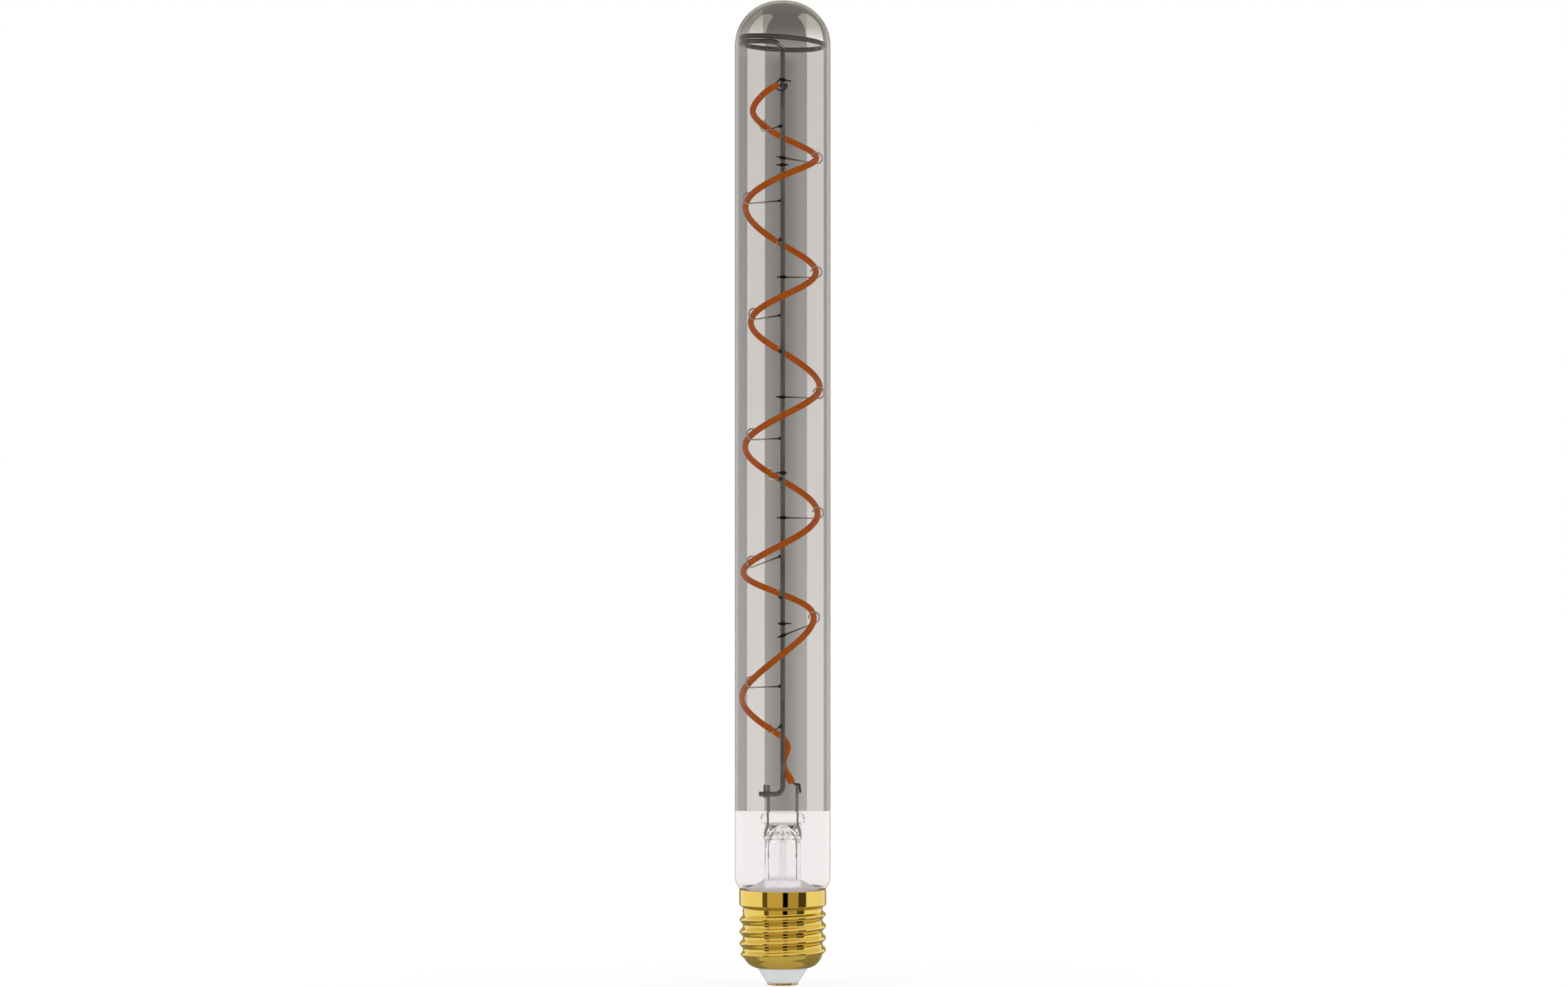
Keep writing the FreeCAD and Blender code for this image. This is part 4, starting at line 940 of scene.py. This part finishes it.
def white_moulding(start, where):
    cloud = where.noise(160, 3)
    peel = where.noise(1800, 2)
    return {
        "Base Color": cloud.ramp(0.3, 0.7).blend((0.88, 0.91, 0.95), (0.92, 0.95, 0.99)),
        "Roughness": cloud.ramp(0.3, 0.7, 0.26, 0.36),
        "Coat Weight": 0.25,
        "Normal": peel.bump(0.015 * MM, 0.4),
    }


white = finish("white_moulding", white_moulding)
place(
    [skin("white_insulator", turned(insulator_profile, 96), closed=True, crease=35)],
    ["insulator"], white,
)

# %% [markdown]
# ## The contact
# A stamped brass disc sits in the insulator's foot, with a shank above it that holds it there. Its edge is pressed
# round, so the profile has two arcs.

# %% Turn the contact
contact_profile = np.vstack([
    [(0.05, 0.0), (4.2, 0.0)], arc((4.45, 0.3), 0.3, -90, 0, 6), arc((4.6, 0.6), 0.15, 0, 90, 5),
    [(1.1, 0.75), (0.95, 0.85), (0.95, 1.35), (0.85, 1.4), (0.05, 1.4)],
])
contact_metal = finish("brass_contact", plain_metal((0.52, 0.38, 0.14), (0.78, 0.60, 0.26), 700.0, 0.22))
place(
    [skin("foot_contact", turned(contact_profile, 72), crease=35)],
    ["centre_contact"], contact_metal,
)

# %% [markdown]
# ## Cement and driver
# The cement that holds the bulb and the driver that feeds the strand are hidden by the cap. They are the model's own
# solids and only get a finish, most of them a matt grain whose tones and scale change from part to part.

# %% Dress the hidden solids
def matt_grain(dark, light, scale, roughness):
    """A matt, grainy solid such as cement, laminate or a moulded case."""
    def build(start, where):
        grain = where.noise(scale, 4)
        return {
            "Base Color": grain.ramp(0.3, 0.7).blend(dark, light),
            "Roughness": grain.ramp(0.3, 0.7, roughness - 0.1, roughness),
            "Normal": grain.bump(0.06 * MM, 0.5),
        }
    return build


for names, name, kind, dark, light, scale, roughness in (
    (["cement_ring"], "white_cement", matt_grain, (0.56, 0.52, 0.53), (0.74, 0.71, 0.72), 900.0, 0.95),
    (["driver_board"], "green_laminate", matt_grain, (0.03, 0.13, 0.06), (0.05, 0.20, 0.09), 1500.0, 0.45),
    (["bridge_rectifier", "driver_chip"], "black_case", matt_grain,
     (0.02, 0.02, 0.021), (0.04, 0.04, 0.042), 2200.0, 0.6),
    (["smoothing_capacitor"], "drawn_can", plain_metal, (0.45, 0.45, 0.46), (0.62, 0.62, 0.63), 500.0, 0.3),
    (["fusible_resistor"], "resistor_coat", matt_grain, (0.20, 0.30, 0.25), (0.28, 0.40, 0.33), 1200.0, 0.6),
):
    dress(names, finish(name, kind(dark, light, scale, roughness)))

# %% [markdown]
# ## The studio
# The photograph is taken on white between two tall soft lights, with dark gaps beside the camera. The gold cap and
# the smoked glass are read mostly by what they mirror, so those shapes matter more than any colour. Two area lamps
# are the soft lights. A lamp adds its glow to what lies behind it, for a mirror and through glass, so both kinds of
# ray pass the lamps by and find the cards and the white room instead.

# %% Two soft lights
def from_camera(degrees, distance, height):
    """A place at a bearing from the camera's side: 0 is at the camera and a positive bearing lies to its right."""
    t = math.radians(degrees)
    return np.array([math.sin(t) * distance, -math.cos(t) * distance, height])


LIGHT, LAMP_HEIGHT = 1.1, 2.4
for name, bearing, spread in (("soft_left", -71, 52), ("soft_right", 89, 58)):
    lamp = bpy.data.lights.new(name, "AREA")
    lamp.shape = "RECTANGLE"
    lamp.size, lamp.size_y = 2 * math.tan(math.radians(spread / 2)), LAMP_HEIGHT
    lamp.energy = LIGHT * math.pi * lamp.size * lamp.size_y
    holder = linked(name, lamp)
    holder.location = from_camera(bearing, 1.0, 0.75)
    holder.rotation_euler = (math.radians(90), 0, math.radians(bearing))
    holder.visible_glossy = holder.visible_transmission = False
    print(name, "at", [round(v, 3) for v in holder.location])

# %% [markdown]
# ## Cards for the gold
# A mirror shows the room. On a cylinder of radius R a point at x beside the middle mirrors the bearing
# 2 asin(x / R), so the edges of the dark and pale zones on the cap's band give the bearings of tall cards on an arc
# round the lamp. A level disc above and two below do the same for the faces of the thread. Only mirrors see them.

# %% Cards that only mirrors see
MIRRORS_ONLY = ("camera", "diffuse", "transmission", "shadow")
GLASS_ONLY = ("camera", "diffuse", "glossy", "shadow")
CARD_TINT, SHEET_TINT = (1.0, 0.84, 0.5), (1.0, 0.93, 0.78)


def glowing(name, tone, tint=(1, 1, 1), shade=None):
    """A card's tone, tint and shade, given as light so that its own shading doesn't matter."""
    material = bpy.data.materials.new(name)
    begin = empty_nodes(material)
    colour = shade(begin, begin.node("TexCoord", output="Object")) if shade else (*tint, 1)
    light = begin.node("Emission", inputs={"Color": colour, "Strength": tone})
    begin.node("OutputMaterial", inputs={"Surface": light})
    return material


def staged(name, points, faces, material, unseen_by):
    """A thing of the studio, which some kinds of ray don't see."""
    made = mesh_object(name, points, faces)
    made.data.materials.append(material)
    for kind in unseen_by:
        setattr(made, "visible_" + kind, False)


def card(name, start_bearing, stop_bearing, tone):
    """A tall strip of card on an arc round the lamp."""
    t = np.linspace(start_bearing, stop_bearing, 8)
    points = np.array([from_camera(one, 1.9, level) for level in (-1.2, 2.2) for one in t])
    k = np.arange(7)
    faces = np.stack([k, k + 1, k + 9, k + 8], -1).tolist()
    staged(name, points, faces, glowing(name, tone, CARD_TINT), MIRRORS_ONLY)


def sheet(name, height, radius, tone):
    """A level disc over or under the lamp."""
    t = np.linspace(0, 2 * np.pi, 48, endpoint=False)
    points = np.stack([radius * np.cos(t), radius * np.sin(t), height + 0 * t], -1)
    staged(name, points, [list(range(48))], glowing(name, tone, SHEET_TINT), MIRRORS_ONLY)


for number, (start_bearing, stop_bearing, tone) in enumerate([
    (-55, -41, 0.12), (-41, 0, 0.62), (0, 14, 0.0), (14, 42, 0.48), (42, 65, 0.07), (148, 212, 0.42),
]):
    card("card_%d" % number, start_bearing, stop_bearing, tone)
sheet("ceiling", 1.0, 1.85, 0.8)
sheet("table_near", -0.45, 0.35, 0.58)
sheet("table_far", -0.5, 1.85, 0.30)
print("a point half way out on the cap mirrors the bearing", round(2 * math.degrees(math.asin(0.5))))

# %% [markdown]
# ## Reflectors behind the glass
# Two bright bands run down the tube, because pale reflectors stand close behind it. They could be painted on the
# glass, but then they would turn with the lamp. Here each is a flat shape behind the tube, seen through glass alone.
# Its outline is drawn as the camera sees it, and the bending of light in both walls gives the real place.

# %% Bend the outlines by the law of refraction
CAMERA_BACK, CAMERA_HIGH = 1560.0, 149.7
BAND_FOOT, BAND_TOP, DOME_MIDDLE = 52.95, 287, 286


def through_walls(r, depth, n=THIN_GLASS):
    """How far from the axis a ray from the camera, aimed r beside it, meets a plane that lies depth behind it.

    At each of the four faces the law of refraction turns the direction d to q d + (q c - sqrt(1 - q^2 (1 - c^2))) n.
    """
    at = np.stack([0 * r, 0 * r - CAMERA_BACK], -1)
    d = np.stack([r, 0 * r + CAMERA_BACK], -1) / np.hypot(r, CAMERA_BACK)[:, None]
    for radius, side, q in ((TUBE, -1, 1 / n), (TUBE - WALL, -1, n), (TUBE - WALL, 1, 1 / n), (TUBE, 1, n)):
        along = (at * d).sum(1)
        at = at + d * (side * np.sqrt(along ** 2 - (at ** 2).sum(1) + radius ** 2) - along)[:, None]
        face = -side * at / radius
        c = -(face * d).sum(1)[:, None]
        d = q * d + (q * c - np.sqrt(1 - q ** 2 * (1 - c ** 2))) * face
    return at[:, 0] + d[:, 0] / d[:, 1] * (depth - at[:, 1])


print("a ray aimed 12.5 mm beside the axis ends", through_walls(np.array([12.5]), 20.0).round(2), "mm beside it")

# %% [markdown]
# ## The backdrop and the two bands
# Between the bands the tube isn't one flat grey: it is darkest behind the rod and paler towards its foot. A graded
# backdrop stands behind the reflectors for that. Its tone follows the place, so it needs no picture.

# %% The backdrop and the two reflectors
def backlight(name, outline, tone, depth=20.0, shade=None):
    """A flat light behind the lamp from the outline (x, z) that the camera sees, spread round the dome's middle."""
    x, z = np.array(outline, float).T
    above = np.maximum(z - DOME_MIDDLE, 0)
    r = np.hypot(x, above)
    swell = through_walls(r, depth) / r
    share = (CAMERA_BACK + depth) / CAMERA_BACK
    z = CAMERA_HIGH + (z - above - CAMERA_HIGH) * share + above * swell
    points = np.stack([x * swell, depth + 0 * x, z], -1) * MM
    staged(name, points, [list(range(len(points)))], glowing(name, tone, shade=shade), GLASS_ONLY)


def grey(begin, value):
    """A neutral colour of a value."""
    return begin.node("CombineColor", inputs={"Red": value, "Green": value, "Blue": value})


def paler_below(begin, where):
    """The reflectors are a little paler towards their foot."""
    height = where.part("Z")
    return grey(begin, height.ramp(60 * MM, 285 * MM, 1.05, 0.93))


def backdrop_shade(begin, where):
    """The backdrop is paler towards its foot, darkest behind the rod and palest beside the right reflector."""
    height = where.part("Z")
    aside = where.part("X")
    across = aside.ramp(-6 * MM, -0.5 * MM, 1.0, 0.76) + aside.ramp(1 * MM, 7 * MM, 0.0, 0.42)
    across = across - aside.ramp(9 * MM, 13 * MM, 0.0, 0.2)
    level = across * height.ramp(60 * MM, 285 * MM, 1.15, 0.85)
    into_dome = height.ramp(282.5 * MM, 287 * MM)
    return grey(begin, level * (1 - into_dome) + into_dome)


def band(left, right, lean=0.0):
    """The outline of an upright band between two sides, moved by a lean at its top."""
    return [(left, BAND_FOOT), (right, BAND_FOOT), (right + lean, BAND_TOP), (left + lean, BAND_TOP)]


backlight("backdrop", band(-13.3, 13.3), 1.0, 22.0, backdrop_shade)
backlight("reflector_left", band(-10.9, -5.5, 0.1), 2.13, shade=paler_below)
backlight("reflector_right", band(7.4, 12.5), 2.13, shade=paler_below)
print("bands from", BAND_FOOT, "to", BAND_TOP, "mm")

# %% [markdown]
# ## Bright patches in the dome
# The same reflectors fill the dome as curved patches. A darker column crosses them, so each side has a bright part, a
# dimmer one inside the column and a paler margin towards the rim, and the three share their common edges.

# %% Outlines of the patches
FOOT = 287.02
PATCHES = {
    "left": {
        "rise": (-6.04, 295.68), "column": 2.25, "margin": 2.0,
        "edge": [(-6.3, 295.6), (-7.9, 294.4), (-9.2, 292.9), (-10.0, 291.4), (-10.4, 290.2), (-10.8, FOOT)],
        "inner": [(-4.6, 296.2), (-3.6, 295.9), (-2.9, 295.2), (-3.9, 293.8), (-4.7, 292.1), (-5.2, 290.4),
                  (-5.4, FOOT)],
        "rim": [(-13.3, FOOT), (-13.1, 289.0), (-12.3, 291.3), (-11.0, 293.5), (-9.2, 295.6), (-7.4, 297.0),
                (-6.04, 297.9)],
    },
    "right": {
        "rise": (7.37, 296.07), "column": 2.65, "margin": 1.05,
        "edge": [(7.7, 296.0), (9.2, 295.0), (10.9, 293.2), (11.9, 290.9), (12.3, 288.5), (12.5, FOOT)],
        "inner": [(6.3, 296.3), (5.4, 295.9), (4.6, 295.0), (5.9, 293.5), (6.7, 291.9), (7.1, 289.8), (7.2, FOOT)],
        "rim": [(13.3, FOOT), (13.0, 289.25), (12.2, 291.54), (10.9, 293.8), (9.2, 295.74), (7.37, 297.2)],
    },
}
for side, patch in PATCHES.items():
    x, top = patch["rise"]
    rise = [(x, z) for z in np.linspace(FOOT, top, 7)]
    backlight("dome_patch_" + side, rise + patch["edge"], 3.75)
    backlight("dome_column_" + side, rise + patch["inner"], patch["column"])
    backlight("dome_margin_" + side, rise[-1:] + patch["edge"] + patch["rim"], patch["margin"])
print("dome patches:", *PATCHES)

# %% [markdown]
# ## White floor, white room and camera
# The picture's background is pure white, but white light from all sides would wash out the lamp. So the floor and
# the world are white to the camera, to mirrors and through glass, and dimmer to everything that they light. Near the
# lamp the floor is partly a plain matt one, which keeps the shadow.

# %% Floor, world and camera
def seen(begin):
    """One for rays from the camera, off mirrors and through glass, and none for the rest."""
    kinds = ("Is Camera Ray", "Is Glossy Ray", "Is Transmission Ray")
    rays = [begin.node("LightPath", output=kind) for kind in kinds]
    return begin.maths("MINIMUM", rays[0] + rays[1] + rays[2], 1.0)


floor_material = bpy.data.materials.new("floor_white")
begin = empty_nodes(floor_material)
matt = begin.node("BsdfDiffuse", inputs={"Color": (0.86, 0.86, 0.86, 1)})
glow = begin.node("Emission", inputs={"Color": (1, 1, 1, 1), "Strength": 1.04})
on_floor = begin.node("TexCoord", output="Object")
away = begin.node("VectorMath", {"operation": "LENGTH"}, {0: on_floor}, 1)
share = seen(begin) * away.ramp(0.03, 0.45, 0.78, 1.0)
floor_mix = begin.node("MixShader", inputs={0: share, 1: matt, 2: glow})
begin.node("OutputMaterial", inputs={"Surface": floor_mix})
FLOOR_HALF, FLOOR_DROP = 4.0, 0.0001
corners = np.array([(-1, -1, 0), (1, -1, 0), (1, 1, 0), (-1, 1, 0)]) * FLOOR_HALF - [0, 0, FLOOR_DROP]
staged("floor", corners, [(0, 1, 2, 3)], floor_material, ("glossy",))

world = bpy.data.worlds.new("white_room")
bpy.context.scene.world = world
begin = empty_nodes(world)
sky = begin.node("Background", inputs={"Color": (1, 1, 1, 1), "Strength": seen(begin) * 0.25 + 0.75})
begin.node("OutputWorld", inputs={"Surface": sky})

lens = bpy.data.cameras.new("camera")
lens.sensor_width = 36.0
lens.lens = 117.4
lens.clip_start = 0.01
camera = linked("camera", lens)
camera.location = (0.0004, -CAMERA_BACK * MM, CAMERA_HIGH * MM)
camera.rotation_euler = (math.radians(90), 0, 0)
bpy.context.scene.camera = camera
bpy.context.scene.view_settings.view_transform = "Standard"
print("camera at", tuple(round(v, 4) for v in camera.location))

# %% [markdown]
# The dressed lamp has to stay in the model's box.
